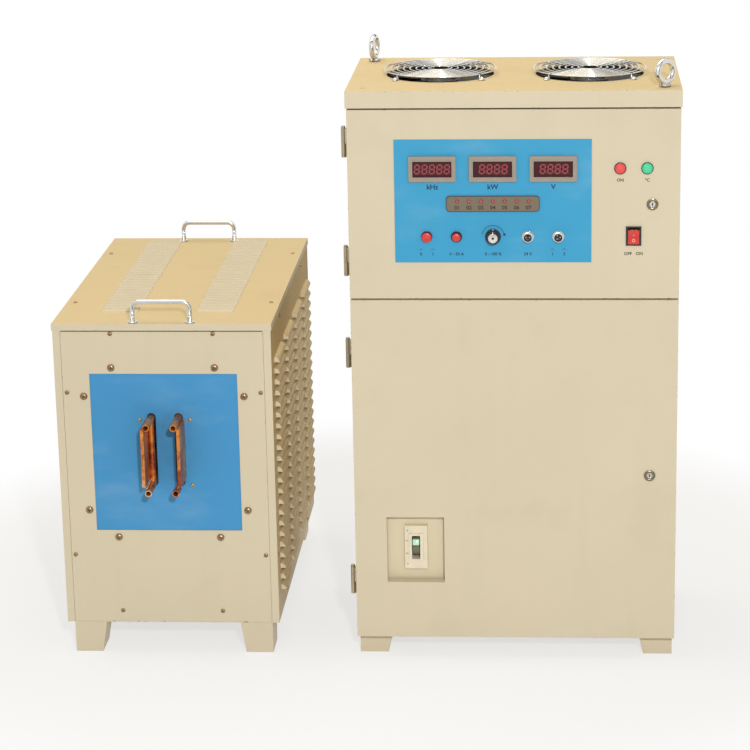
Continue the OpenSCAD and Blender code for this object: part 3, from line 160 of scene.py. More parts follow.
class Paint:
    """One procedural material, whose patterns read Object coordinates in metres."""

    def __init__(self, name: str, low: Vector | None = None, high: Vector | None = None) -> None:
        """Starts a material with a Principled shader.

        Args:
            name: The material's name.
            low: The lowest corner of the piece's box, if its edges are to show.
            high: The box's highest corner.
        """
        self.low, self.high = low, high
        self.material = bpy.data.materials.new(name)
        self.material.use_nodes = True
        self.tree = self.material.node_tree
        self.tree.nodes.clear()
        self.shader = self.tree.nodes.new("ShaderNodeBsdfPrincipled")
        output = self.tree.nodes.new("ShaderNodeOutputMaterial")
        self.tree.links.new(self.shader.outputs[0], output.inputs[0])
        self.places = Value(self, self.node("ShaderNodeTexCoord").outputs["Object"])

    def node(self, kind: str, settings: dict | None = None, inputs: dict | None = None) -> bpy.types.Node:
        """Adds a node.

        Args:
            kind: The node's type.
            settings: Its settings, with "stops" for a ramp's stops.
            inputs: Values or links of its sockets, by name or number.

        Returns:
            The new node.
        """
        node = self.tree.nodes.new(kind)
        for key, value in (settings or {}).items():
            if key == "stops":
                while len(node.color_ramp.elements) < len(value):
                    node.color_ramp.elements.new(0.5)
                for stop, (place, colour) in zip(node.color_ramp.elements, value):
                    stop.position = place
                    stop.color = (*colour, 1.0)
            else:
                setattr(node, key, value)
        for key, value in (inputs or {}).items():
            self.plug(node.inputs[key], value)
        return node

    def plug(self, socket: bpy.types.NodeSocket, value: "Value | float | Sequence[float]") -> None:
        """Links a value to a socket, or sets the socket to it.

        Args:
            socket: The socket of a node.
            value: What it takes, with at least three channels for a colour.
        """
        if isinstance(value, Value):
            self.tree.links.new(value.socket, socket)
        elif socket.type == "RGBA":
            socket.default_value = (*value[:3], 1.0)
        else:
            socket.default_value = value

    def stretched(self, stretch: Point, shift: Point) -> Value:
        """Gives the Object coordinates, stretched and moved.

        Args:
            stretch: Scale along each axis.
            shift: Offset along each axis.

        Returns:
            The new coordinates.
        """
        node = self.node("ShaderNodeMapping", {},
                         {"Vector": self.places, "Scale": stretch, "Location": shift})
        return Value(self, node.outputs[0])

    def noise(self, per_metre: float, detail: float = 2.0, stretch: Point = (1, 1, 1),
              shift: Point = (0, 0, 0)) -> Value:
        """Gives a soft noise from 0 to 1.

        Args:
            per_metre: Number of lumps in a metre.
            detail: Number of finer layers.
            stretch: Scale along each axis, for streaks.
            shift: Offset of the pattern.

        Returns:
            The noise.
        """
        places = self.stretched(stretch, shift) if (stretch, shift) != ((1, 1, 1), (0, 0, 0)) else self.places
        node = self.node("ShaderNodeTexNoise", {}, {"Vector": places, "Scale": per_metre, "Detail": detail})
        return Value(self, node.outputs[0])

    def cells(self, per_metre: float, distance: str = "EUCLIDEAN") -> Value:
        """Gives the distance to the middle of random cells.

        Args:
            per_metre: Number of cells in a metre.
            distance: How the distance is measured, which makes the cells round or square.

        Returns:
            The distance, in shares of a cell.
        """
        node = self.node("ShaderNodeTexVoronoi", {"feature": "F1", "distance": distance},
                         {"Vector": self.places, "Scale": per_metre})
        return Value(self, node.outputs["Distance"])

    def parts(self, vector: Value) -> tuple[Value, Value, Value]:
        """Splits a vector into its three parts."""
        node = self.node("ShaderNodeSeparateXYZ", {}, {0: vector})
        return tuple(Value(self, output) for output in node.outputs)

    def axes(self) -> tuple[Value, Value, Value]:
        """Gives the three Object coordinates in metres."""
        return self.parts(self.places)

    def facing(self) -> tuple[Value, Value, Value]:
        """Gives the three parts of the surface's own direction."""
        return self.parts(Value(self, self.node("ShaderNodeNewGeometry").outputs["Normal"]))

    def near_edges(self, width: float) -> Value:
        """Gives 1 at the edges of the piece's box, falling to 0 inside its faces.

        Args:
            width: How far the edges reach.

        Returns:
            The nearness.
        """
        a, b, c = ((value - low).least(high - value).size()
                   for value, low, high in zip(self.axes(), self.low, self.high))
        second = a.least(b).most(a.most(b).least(c))
        return second.ramp(width, 0.0)

    def blend(self, factor: "Value | float", first: "Value | Colour", second: "Value | Colour") -> Value:
        """Mixes two colours by a factor."""
        node = self.node("ShaderNodeMix", {"data_type": "RGBA"}, {0: factor, 6: first, 7: second})
        return Value(self, node.outputs[2])

    def varied(self, factor: Value, colour: Colour, darker: float, lighter: float) -> Value:
        """Varies a colour between two shades of it."""
        return self.blend(factor, shade(colour, darker), shade(colour, lighter))

    def bump(self, height: Value, depth: float) -> Value:
        """Turns a height from 0 to 1 into a normal, for a relief of that depth in metres."""
        node = self.node("ShaderNodeBump", {}, {"Height": height, "Distance": depth, "Strength": 1.0})
        return Value(self, node.outputs[0])

    def finish(self, **sockets: "Value | float | Colour") -> None:
        """Sets the shader's sockets, written with underscores."""
        for name, value in sockets.items():
            self.plug(self.shader.inputs[name.replace("_", " ")], value)


class Finish(ABC):
    """A look, which makes a material of its own for each piece."""

    def make(self, name: str, low: Vector, high: Vector) -> bpy.types.Material:
        """Makes the material for one piece.

        Args:
            name: The material's name.
            low: The lowest corner of the piece's box, which tells where its edges are.
            high: The box's highest corner.

        Returns:
            The material.
        """
        paint = Paint(name, low, high)
        self.apply(paint)
        return paint.material

    @abstractmethod
    def apply(self, paint: Paint) -> None:
        """Builds the look in the material of one piece."""


@dataclass(frozen=True)
class PowderCoat(Finish):
    """Cream textured powder coat: a fine orange peel, handling marks, and rubbed edges.

    Level faces take painted warm top light outside the bands, each the left, right, front and rear of a paler
    field in metres. Faces that look left or right take a painted side shade colour.
    """

    colour: Colour = srgb(217, 205, 178)
    top_light_tint: Colour = srgb(228, 206, 158)
    side_shade: Colour = srgb(217, 205, 178)
    steel: Colour = srgb(120, 116, 110)
    peel_per_metre: float = 700.0
    wear: float = 1.0
    bands: tuple[tuple[float, float, float, float], ...] = ()

    def apply(self, paint: Paint) -> None:
        """Builds the coat of one panel, rubbed and chipped at the edges of its box.

        Args:
            paint: The material that it is built in.
        """
        sideways, _, upward = paint.facing()
        level = upward.ramp(0.55, 0.95)
        cloud = paint.noise(4.0, 4.0)
        streak = paint.noise(26.0, 3.0, stretch=(1, 1, 0.08))
        smudge = paint.noise(9.0, 5.0, shift=(3, 1, 7)).ramp(0.52, 0.72)
        tone = paint.varied(cloud, self.colour, 0.955, 1.03)
        # Painted shade: faces that look left or right take the darker side colour.
        beside = sideways.size().ramp(0.35, 0.9)
        tone = paint.blend(beside, tone, paint.varied(cloud, self.side_shade, 0.94, 1.04))
        # Painted warm top light: level faces outside any bands take the warmer top tint.
        painted_top_light = level
        for left, right, front, rear in self.bands:
            x, y, _ = paint.axes()
            across = (x - (left + right) / 2).size() - (right - left) / 2
            along = (y - (front + rear) / 2).size() - (rear - front) / 2
            painted_top_light = painted_top_light * across.most(along).ramp(0.0, 0.0006)
        tone = paint.blend(painted_top_light, tone, paint.varied(cloud, self.top_light_tint, 0.96, 1.03))
        tone = paint.blend(streak.ramp(0.5, 0.8) * 0.10, tone, shade(self.colour, 0.78))
        tone = paint.blend(smudge * 0.10, tone, shade(self.top_light_tint, 0.72))
        rubbed = paint.near_edges(0.0035) * paint.noise(38.0, 4.0).ramp(0.45, 0.7)
        tone = paint.blend(rubbed * 0.35 * self.wear, tone, shade(self.colour, 1.12))
        chips = paint.near_edges(0.0016) * paint.noise(150.0, 3.0).ramp(0.63, 0.68)
        tone = paint.blend(chips * 0.8 * self.wear, tone, self.steel)
        specks = paint.cells(190.0).ramp(0.10, 0.05) * paint.noise(21.0).ramp(0.6, 0.7)
        tone = paint.blend(specks * 0.25, tone, shade(self.colour, 0.5))
        rough = 0.40 + cloud * 0.10 + smudge * 0.08 - rubbed * 0.12 + level * 0.3
        peel = paint.noise(self.peel_per_metre, 2.0) + paint.noise(55.0, 2.0) * 0.6
        paint.finish(Base_Color=tone, Roughness=rough, Normal=paint.bump(peel, 0.00006),
                     Specular_IOR_Level=0.45, Metallic=chips * 0.7)


@dataclass(frozen=True)
class Film(Finish):
    """A coloured sheet: the printed panel film, or the painted laminate of the insulating board."""

    colour: Colour
    roughness: float = 0.36
    weave: float = 0.0
    soot: float = 0.0
    wiped: Colour = srgb(220, 232, 236)
    soot_blue: Colour = srgb(52, 62, 74)

    def apply(self, paint: Paint) -> None:
        """Builds the sheet, with painted shade darkening its edges, and stained round its middle.

        Args:
            paint: The material that it is built in.
        """
        cloud = paint.noise(6.0, 4.0)
        tone = paint.varied(cloud, self.colour, 0.95, 1.04)
        wiped = paint.noise(18.0, 5.0, stretch=(0.35, 1, 1)).ramp(0.5, 0.75)
        tone = paint.blend(wiped * 0.08, tone, self.wiped)
        x, _, z = paint.axes()
        grain = paint.noise(1500.0, 1.0)
        if self.weave:
            grain = grain * 0.5 + x.wave(self.weave) * z.wave(self.weave) * 0.8
        if self.soot:
            middle = (paint.low + paint.high) / 2
            reach = ((x - middle.x).size() * 0.9).most((z - middle.z - 0.005).size() * 0.55)
            stain = reach.ramp(0.062, 0.018) * paint.noise(42.0, 5.0).ramp(0.35, 0.7)
            tone = paint.blend(stain * self.soot, tone, self.soot_blue)
        # Painted shade: darker towards the edges of the sheet's box.
        tone = paint.blend(paint.near_edges(0.0012) * 0.35, tone, shade(self.colour, 0.55))
        rough = self.roughness + cloud * 0.08 + wiped * 0.12
        paint.finish(Base_Color=tone, Roughness=rough, Normal=paint.bump(grain, 0.00003),
                     Specular_IOR_Level=0.32)


class Grain(Enum):
    """How a metal surface was worked."""

    POLISHED = "polished"
    BRUSHED = "brushed"
    PLATED = "plated"
    CAST = "cast"


@dataclass(frozen=True)
class Metal(Finish):
    """A bare or plated metal, with the marks of its working and some tarnish."""

    colour: Colour
    roughness: float
    grain: Grain = Grain.POLISHED
    tarnish: Colour = srgb(110, 96, 74)
    tarnish_share: float = 0.15
    metallic: float = 1.0

    def apply(self, paint: Paint) -> None:
        """Builds the metal, whose marks lie all over.

        Args:
            paint: The material that it is built in.
        """
        cloud = paint.noise(55.0, 4.0)
        spots = paint.noise(230.0, 3.0, shift=(1, 5, 2)).ramp(0.56, 0.74)
        tone = paint.varied(cloud, self.colour, 0.9, 1.05)
        tone = paint.blend(spots * self.tarnish_share, tone, self.tarnish)
        scratches = paint.noise(900.0, 2.0, stretch=(0.05, 1, 1)).ramp(0.5, 0.8)
        if self.grain is Grain.BRUSHED:
            relief = paint.noise(2600.0, 2.0, stretch=(0.02, 1, 1))
        elif self.grain is Grain.PLATED:
            relief = paint.cells(420.0)
        elif self.grain is Grain.CAST:
            relief = paint.noise(1300.0, 3.0)
        else:
            relief = paint.noise(120.0, 1.0)
        depth = 0.000004 if self.grain is Grain.POLISHED else 0.00003
        rough = self.roughness + spots * 0.18 + scratches * 0.06 + cloud * 0.05
        paint.finish(Base_Color=tone, Roughness=rough, Metallic=self.metallic,
                     Normal=paint.bump(relief, depth))


@dataclass(frozen=True)
class Moulded(Finish):
    """A moulded plastic with its fine texture, dust in the corners and scuffs."""

    colour: Colour
    roughness: float = 0.42
    dust: Colour = srgb(168, 160, 142)
    glow: float = 0.0

    def apply(self, paint: Paint) -> None:
        """Builds the plastic, with dust at its edges.

        Args:
            paint: The material that it is built in.
        """
        cloud = paint.noise(70.0, 3.0)
        dusty = paint.noise(260.0, 4.0).ramp(0.52, 0.75)
        tone = paint.varied(cloud, self.colour, 0.88, 1.08)
        tone = paint.blend(dusty * 0.10, tone, self.dust)
        tone = paint.blend(paint.near_edges(0.0008) * 0.25, tone, shade(self.dust, 0.9))
        rough = self.roughness + dusty * 0.15 + cloud * 0.06
        # A glow, used only on the breaker handle's tip, is painted light.
        lit = {"Emission_Color": self.colour, "Emission_Strength": self.glow} if self.glow else {}
        grain = paint.bump(paint.noise(1800.0, 2.0), 0.00002)
        paint.finish(Base_Color=tone, Roughness=rough, Normal=grain, **lit)


@dataclass(frozen=True)
class Lens(Finish):
    """A tinted, glossy lens or window."""

    colour: Colour
    glow: float = 0.0
    facets: float = 0.0
    coat: float = 0.6

    def apply(self, paint: Paint) -> None:
        """Builds the lens, with its moulded facets if it has any.

        Args:
            paint: The material that it is built in.
        """
        depth_tone = paint.noise(90.0, 2.0)
        tone = paint.varied(depth_tone, self.colour, 0.8, 1.15)
        smear = paint.noise(160.0, 4.0, stretch=(0.3, 1, 1)).ramp(0.5, 0.8)
        relief = paint.cells(self.facets) if self.facets else paint.noise(300.0, 1.0)
        paint.finish(Base_Color=tone, Roughness=0.10 + smear * 0.14,
                     Coat_Weight=self.coat - smear * self.coat * 0.5,
                     Specular_IOR_Level=0.2 + 0.5 * self.coat,
                     Normal=paint.bump(relief, 0.0002 if self.facets else 0.000004),
                     Emission_Color=self.colour, Emission_Strength=self.glow)


@dataclass(frozen=True)
class HeatedCopper(Finish):
    """Copper that brazing and work heat have coloured orange, brown and purple, with silver runs."""

    bright: Colour = srgb(226, 142, 66)
    brown: Colour = srgb(164, 78, 52)
    purple: Colour = srgb(124, 66, 84)
    silver: Colour = srgb(226, 200, 160)
    gold: Colour = srgb(240, 178, 84)
    soot: Colour = srgb(46, 32, 34)

    def apply(self, paint: Paint) -> None:
        """Builds the copper, rubbed bright at its edges.

        Args:
            paint: The material that it is built in.
        """
        broad = paint.noise(24.0, 5.0, stretch=(1, 1, 0.6))
        fine = paint.noise(110.0, 5.0, shift=(2, 7, 1))
        hue = broad * 0.65 + fine * 0.35
        stops = [(0.30, self.purple), (0.42, self.brown), (0.52, self.bright),
                 (0.64, shade(self.bright, 1.2)), (0.74, self.brown)]
        ramp = paint.node("ShaderNodeValToRGB", {"stops": stops}, {"Fac": hue})
        tone = Value(paint, ramp.outputs["Color"])
        rubbed = paint.near_edges(0.0022) * fine.ramp(0.38, 0.58)
        tone = paint.blend(rubbed * 0.8, tone, shade(self.bright, 1.35))
        runs = paint.noise(46.0, 4.0, stretch=(1, 1, 0.25), shift=(5, 2, 3)).ramp(0.62, 0.68)
        tone = paint.blend(runs * 0.75, tone, self.silver)
        soot = paint.noise(70.0, 4.0, shift=(9, 4, 6)).ramp(0.60, 0.78)
        flecks = paint.noise(260.0, 3.0, shift=(4, 4, 8)).ramp(0.60, 0.68)
        tone = paint.blend(flecks * 0.8, tone, self.gold)
        tone = paint.blend(soot * 0.45, tone, self.soot)
        rough = 0.26 + fine * 0.22 + soot * 0.3
        metal = 0.72 - soot * 0.5
        relief = fine + runs * 1.2 + paint.noise(600.0, 2.0) * 0.2
        paint.finish(Base_Color=tone, Roughness=rough, Metallic=metal,
                     Normal=paint.bump(relief, 0.00035))


@dataclass(frozen=True)
class Laminations(Finish):
    """A stack of varnished iron sheets, seen on edge."""

    colour: Colour = srgb(74, 70, 68)
    rust: Colour = srgb(112, 68, 46)
    sheet_m: float = 0.0021

    def apply(self, paint: Paint) -> None:
        """Builds the stack's edge lines and its rust.

        Args:
            paint: The material that it is built in.
        """
        _, y, _ = paint.axes()
        lines = y.wave(self.sheet_m)
        rust = paint.noise(40.0, 4.0).ramp(0.55, 0.72)
        tone = paint.blend(lines, shade(self.colour, 0.55), self.colour)
        tone = paint.blend(rust * 0.6, tone, self.rust)
        rough = 0.38 + rust * 0.3
        paint.finish(Base_Color=tone, Roughness=rough, Metallic=0.55 - rust * 0.4,
                     Normal=paint.bump(lines, 0.0002))


@dataclass(frozen=True)
class CircuitBoard(Finish):
    """A solder-masked board, with its traces as slightly raised lines."""

    mask: Colour = srgb(36, 108, 66)
    trace: Colour = srgb(62, 142, 84)
    solder: Colour = srgb(196, 190, 176)
    trace_m: float = 0.0026
    blocks_per_metre: float = 60.0
    pads_per_metre: float = 240.0

    def apply(self, paint: Paint) -> None:
        """Builds the mask, its pattern of traces and its pads.

        Args:
            paint: The material that it is built in.
        """
        x, _, z = paint.axes()
        choice = paint.cells(self.blocks_per_metre, "CHEBYCHEV")
        lines = x.wave(self.trace_m) * choice.ramp(0.4, 0.42) + z.wave(self.trace_m) * choice.ramp(0.42, 0.4)
        traces = lines.ramp(0.62, 0.72)
        tone = paint.blend(traces, self.mask, self.trace)
        pads = paint.cells(self.pads_per_metre).ramp(0.22, 0.18)
        tone = paint.blend(pads * 0.8, tone, self.solder)
        paint.finish(Base_Color=tone, Roughness=0.3 + paint.noise(80.0) * 0.12, Metallic=pads * 0.6,
                     Normal=paint.bump(traces + pads, 0.00006))


@dataclass(frozen=True)
class Ink(Finish):
    """Screen-printed ink, a little worn."""

    colour: Colour

    def apply(self, paint: Paint) -> None:
        """Builds the ink, worn pale in places.

        Args:
            paint: The material that it is built in.
        """
        worn = paint.noise(420.0, 4.0).ramp(0.55, 0.8)
        tone = paint.blend(worn * 0.3, self.colour, shade(self.colour, 2.2))
        paint.finish(Base_Color=tone, Roughness=0.45 + worn * 0.15,
                     Normal=paint.bump(paint.noise(1500.0), 0.00001))


SWITCH_CREAM = Moulded(srgb(236, 226, 202), 0.40)
DIM_RED = Lens(srgb(168, 40, 44), 0.05)
DIM_ROSE = Lens(srgb(172, 104, 100), 0.05)
LIT_ORANGE = Lens(srgb(255, 176, 120), 0.3)
STRIP_EDGE = Moulded(srgb(44, 52, 82), 0.4)
STRIP_INK = Ink(srgb(40, 34, 34))
WHITE_INK = Ink(srgb(236, 236, 230))
BREAKER_INK = Ink(srgb(150, 112, 70))
CAP_ALUMINIUM = Metal(srgb(232, 230, 224), 0.2, Grain.BRUSHED)
LOCK_BRONZE = Metal(srgb(142, 130, 100), 0.2)
# Black foam for the door seals, which also stand in for the shade in the seams.
SEAM_SHADE_FOAM = Moulded(srgb(30, 28, 30), 0.8)
HANDLE_GREY = Moulded(srgb(116, 120, 98), 0.4)
# A painted highlight: pale mint and faintly glowing, for the tip of the breaker handle.
HANDLE_TIP_HIGHLIGHT = Moulded(srgb(186, 232, 204), 0.22, glow=0.12)
BUS_COPPER = HeatedCopper(brown=srgb(190, 112, 66))
PLUG_GREEN = Moulded(srgb(46, 128, 92), 0.4)
RELAY_BLUE = Moulded(srgb(30, 44, 86), 0.35)
CAN_BLACK = Moulded(srgb(34, 36, 48), 0.3)
RESISTOR_TAN = Moulded(srgb(196, 166, 122), 0.4)
BRAZE = Metal(srgb(196, 150, 104), 0.3, Grain.CAST, srgb(90, 52, 44), 0.7)
CREAM = PowderCoat()
CHROME = Metal(srgb(222, 220, 214), 0.12)
ZINC = Metal(srgb(186, 172, 146), 0.28, Grain.PLATED, tarnish_share=0.35)
# Screw steel whose warm brown colour is a painted reflection of a brownish surround; its spots are real
# tarnish.
BROWN_REFLECTION_STEEL = Metal(srgb(160, 134, 104), 0.24, tarnish=srgb(92, 62, 40), tarnish_share=0.4)
BLACK = Moulded(srgb(34, 33, 36))
# Doors: their level faces take a painted top light tint close to the plain cream.
DOOR_CREAM = PowderCoat(top_light_tint=srgb(212, 200, 172))
# A lighter cream for the breaker's recessed plate: painted light that lifts it to the doors' brightness.
RECESS_LIT_CREAM = PowderCoat(colour=srgb(225, 215, 186))
# Browner colour for the sideways faces of the head's right side: painted shade.
SIDE_SHADED = PowderCoat(side_shade=srgb(203, 177, 124))
DARK_CHROME = Metal(srgb(74, 70, 74), 0.16)
DIGIT_RED = Lens(srgb(150, 42, 46), 0.04)
NAVY_INK = Ink(srgb(16, 36, 74))
BROWN_INK = Ink(srgb(40, 30, 24))

FINISHES = {
    "cream_paint": CREAM,
    "panel_film": Film(srgb(60, 162, 208)),
    "board_laminate": Film(srgb(68, 150, 206), 0.5, weave=0.0016, soot=0.14),
    "chrome_steel": CHROME,
    "zinc_steel": ZINC,
    "dark_casting": Metal(srgb(52, 50, 50), 0.5, Grain.CAST, metallic=0.4),
    "black_plastic": BLACK,
    "bezel_plastic": Moulded(srgb(158, 148, 134), 0.45),
    "display_window": Lens(srgb(66, 16, 26), coat=0.1),
    "strip_metal": Metal(srgb(126, 114, 96), 0.45, Grain.BRUSHED, metallic=0.6),
    "red_plastic": Moulded(srgb(214, 62, 60), 0.28),
    "red_lens": Lens(srgb(228, 70, 70), 0.12, 320.0),
    "green_lens": Lens(srgb(64, 212, 156), 0.12, 320.0),
    "breaker_plastic": SWITCH_CREAM,
    "handle_plastic": Moulded(srgb(96, 112, 92), 0.3),
    "plain_aluminium": Metal(srgb(196, 198, 200), 0.34, Grain.BRUSHED),
    "capacitor_can": Moulded(srgb(52, 60, 72), 0.32),
    "circuit_board": CircuitBoard(),
    "hose_brass": Metal(srgb(212, 170, 92), 0.24, Grain.POLISHED, srgb(120, 82, 40), 0.4),
    "tarnished_copper": HeatedCopper(),
    "core_iron": Laminations(),
    "tank_case": Moulded(srgb(128, 126, 120), 0.5),
}


@dataclass(frozen=True)
class Place:
    """The origin of a cabinet's own frame, in the row frame, in metres."""

    x: float
    y: float

    @classmethod
    def of(cls, wide: str, front: str) -> "Place":
        """Finds a cabinet's origin from the solid that it is centred on and the solid of its front."""
        low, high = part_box(wide)
        return cls((low[0] + high[0]) / 2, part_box(front)[0][1])

    def matrix(self) -> Matrix:
        """Takes millimetres of the cabinet's own frame to metres of the row frame."""
        return Matrix.Translation((self.x, self.y, 0)) @ Matrix.Scale(MM, 4)

    def box(self, node: str) -> tuple[Vector, Vector]:
        """Gives a solid's lowest and highest corners in millimetres of the cabinet's own frame."""
        back = self.matrix().inverted()
        return tuple(back @ Vector(corner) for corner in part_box(node))

    def seat(self, node: str, at: Point, axis: Point) -> Point:
        """Finds where a line along an axis first meets a solid, coming from outside.

        Args:
            node: The solid.
            at: A point on the line, in millimetres.
            axis: The direction from the solid to the outside.

        Returns:
            The point on the solid, in millimetres.
        """
        to_row = self.matrix()
        outward = Vector(axis).normalized()
        start = to_row @ (Vector(at) + outward * OUTSIDE_MM)
        found = surface(node).ray_cast(start, -outward)[0]
        if found is None:
            raise ValueError(f"nothing of {node} lies at {at}")
        return tuple(to_row.inverted() @ found)


def add_object(name: str, data: bpy.types.ID) -> bpy.types.Object:
    """Adds an object to the scene.

    Args:
        name: Its name.
        data: The mesh, curve, light or camera that it shows.

    Returns:
        The object.
    """
    made = bpy.data.objects.new(name, data)
    bpy.context.scene.collection.objects.link(made)
    return made


def standing(at: Point, axis: Point, turn_deg: float = 0.0) -> Matrix:
    """Gives the matrix that stands an upright form on a point.

    Args:
        at: Where its foot goes.
        axis: The direction that it stands in.
        turn_deg: Its turn about that direction.

    Returns:
        The matrix.
    """
    stand = Vector(UP).rotation_difference(Vector(axis)).to_matrix().to_4x4()
    return Matrix.Translation(at) @ stand @ Matrix.Rotation(math.radians(turn_deg), 4, "Z")


@functools.cache
def surface(node: str) -> BVHTree:
    """Gives a solid's surface, to find seats on it."""
    mesh = frame["nodes"][node].data
    return BVHTree.FromPolygons([v.co for v in mesh.vertices], [f.vertices for f in mesh.polygons])


def circle(x: float, z: float, radius: float, start_deg: float = 0.0, end_deg: float = 360.0,
           steps: int = 24) -> list[tuple[float, float]]:
    """Gives points on an arc in X and Z.

    Args:
        x: Where its middle is, across.
        z: Where its middle is, in height.
        radius: Its radius.
        start_deg: Where it starts, anticlockwise from the right as the front sees it.
        end_deg: Where it ends, which may lie below the start.
        steps: Number of straight pieces.

    Returns:
        Its points, without the last one if it is a full circle.
    """
    full = abs(end_deg - start_deg) >= 360
    count = steps if full else steps + 1
    turns = [math.radians(start_deg + (end_deg - start_deg) * i / steps) for i in range(count)]
    return [(x + radius * math.cos(turn), z + radius * math.sin(turn)) for turn in turns]


def band(x: float, z: float, inner: float, outer: float, start_deg: float,
         end_deg: float) -> list[tuple[float, float]]:
    """Gives the outline of a curved band."""
    return circle(x, z, outer, start_deg, end_deg) + circle(x, z, inner, end_deg, start_deg)


def oblong(x: float, z: float, width: float, height: float, corner: float) -> list[tuple[float, float]]:
    """Gives the outline of a rectangle with round corners.

    Args:
        x: Where its middle is, across.
        z: Where its middle is, in height.
        width: Its full width.
        height: Its full height.
        corner: Radius of its corners.

    Returns:
        Its points, anticlockwise as the front sees them.
    """
    a, b = width / 2 - corner, height / 2 - corner
    return (circle(x + a, z + b, corner, 0, 90, 6) + circle(x - a, z + b, corner, 90, 180, 6)
            + circle(x - a, z - b, corner, 180, 270, 6) + circle(x + a, z - b, corner, 270, 360, 6)[:7])


def unique(items: Iterable[object]) -> list:
    """Gives each item once, in the order in which they first come."""
    return list(dict.fromkeys(items))


class Maker:
    """A new piece being made with bmesh operators, in millimetres of a cabinet's own frame."""

    def __init__(self, place: Place) -> None:
        """Starts an empty piece."""
        self.place = place
        self.bm = bmesh.new()

    def block(self, low: Point, high: Point, edge: float = 0.0, turn: Matrix | None = None) -> None:
        """Adds a block with rounded edges.

        Args:
            low: Its lowest corner.
            high: Its highest corner.
            edge: How wide its rounded edges are.
            turn: A turn about its middle.
        """
        size = Vector(high) - Vector(low)
        middle = (Vector(high) + Vector(low)) / 2
        made = bmesh.ops.create_cube(self.bm, size=1.0)["verts"]
        bmesh.ops.scale(self.bm, verts=made, vec=size)
        if turn is not None:
            bmesh.ops.transform(self.bm, verts=made, matrix=turn)
        bmesh.ops.translate(self.bm, verts=made, vec=middle)
        if edge:
            edges = unique(e for v in made for e in v.link_edges)
            bmesh.ops.bevel(self.bm, geom=edges, offset=edge, offset_type="OFFSET", segments=2, profile=0.5,
                            affect="EDGES", material=-1, clamp_overlap=True)

    def block_at(self, at: Point, low: Point, high: Point, edge: float = 0.0,
                 turn: Matrix | None = None) -> None:
        """Adds a block whose corners are measured from a point."""
        corners = (tuple(a + b for a, b in zip(at, corner)) for corner in (low, high))
        self.block(*corners, edge, turn)

    def turned(self, profile: Outline, at: Point, axis: Point, steps: int) -> None:
        """Adds a turned form.

        Args:
            profile: Radius and height of each point, from the foot outwards and up.
            at: Where the foot's centre is.
            axis: The direction that it stands in.
            steps: Number of faces round it.
        """
        points = [self.bm.verts.new((radius, 0, height)) for radius, height in profile]
        edges = [self.bm.edges.new(pair) for pair in zip(points, points[1:])]
        made = bmesh.ops.spin(self.bm, geom=points + edges, cent=(0, 0, 0), axis=(0, 0, 1), angle=FULL_TURN,
                              steps=steps, use_merge=True)
        verts = unique(v for item in made["geom_last"] for v in getattr(item, "verts", [item]))
        verts = self._linked(points + verts)
        bmesh.ops.remove_doubles(self.bm, verts=verts, dist=0.0005)
        verts = [v for v in verts if v.is_valid]
        faces = unique(f for v in verts for f in v.link_faces)
        bmesh.ops.recalc_face_normals(self.bm, faces=faces)
        bmesh.ops.transform(self.bm, verts=verts, matrix=standing(at, axis))

    @staticmethod
    def _linked(start: Iterable[bmesh.types.BMVert]) -> list[bmesh.types.BMVert]:
        """Gathers every vertex that hangs together with the given ones.

        Args:
            start: The vertices to start from, of which some may be gone.

        Returns:
            The vertices, in the order in which they are found.
        """
        found = {}
        waiting = [v for v in start if v.is_valid]
        while waiting:
            vert = waiting.pop()
            if vert in found:
                continue
            found[vert] = True
            waiting.extend(e.other_vert(vert) for e in vert.link_edges)
        return list(found)

    def _raise(self, flat: list[bmesh.types.BMFace], by: Point, keep: bool = True) -> None:
        """Gives a flat form its thickness.

        Args:
            flat: Its faces.
            by: How far, and where to, its other side lies.
            keep: Whether the faces are kept although the raised ones are copies of them.
        """
        raised = bmesh.ops.extrude_face_region(self.bm, geom=flat, use_keep_orig=keep)["geom"]
        verts = [item for item in raised if isinstance(item, bmesh.types.BMVert)]
        bmesh.ops.translate(self.bm, verts=verts, vec=by)
        faces = unique(f for v in self._linked(verts) for f in v.link_faces)
        bmesh.ops.recalc_face_normals(self.bm, faces=faces)

    def sheet(self, outline: Outline, y: float, thick: float) -> None:
        """Adds a flat form that faces the front.

        Args:
            outline: Its corners in X and Z, anticlockwise as the front sees them.
            y: Where its back lies.
            thick: How far it stands out.
        """
        face = self.bm.faces.new([self.bm.verts.new((x, y, z)) for x, z in outline])
        self._raise([face], (0, -thick, 0), keep=False)

    def slice(self, outline: Outline, left: float, right: float) -> None:
        """Adds a form whose outline in Y and Z runs from left to right."""
        face = self.bm.faces.new([self.bm.verts.new((left, y, z)) for y, z in outline])
        self._raise([face], (right - left, 0, 0))

    def rim(self, outer: Outline, inner: Outline, y: float, thick: float) -> None:
        """Adds a flat frame between two outlines, which faces the front.

        Args:
            outer: Its outer outline in X and Z.
            inner: Its inner outline, with as many corners.
            y: Where its back lies.
            thick: How far it stands out.
        """
        loops = []
        for outline in (outer, inner):
            verts = [self.bm.verts.new((x, y, z)) for x, z in outline]
            loops.append([self.bm.edges.new((verts[i - 1], verts[i])) for i in range(len(verts))])
        flat = bmesh.ops.bridge_loops(self.bm, edges=loops[0] + loops[1])["faces"]
        self._raise(flat, (0, -thick, 0))

    def border(self, x: float, z: float, size: tuple[float, float], wall: float, corners: tuple[float, float],
               y: float, thick: float) -> None:
        """Adds an oblong frame that faces the front.

        Args:
            x: Where its middle is, across.
            z: Where its middle is, in height.
            size: Its outer width and height.
            wall: The width of its four sides.
            corners: The outer and the inner corner radius.
            y: Where its rear is.
            thick: How far it stands out to the front.
        """
        wide, high = size
        self.rim(oblong(x, z, wide, high, corners[0]),
                 oblong(x, z, wide - 2 * wall, high - 2 * wall, corners[1]), y, thick)

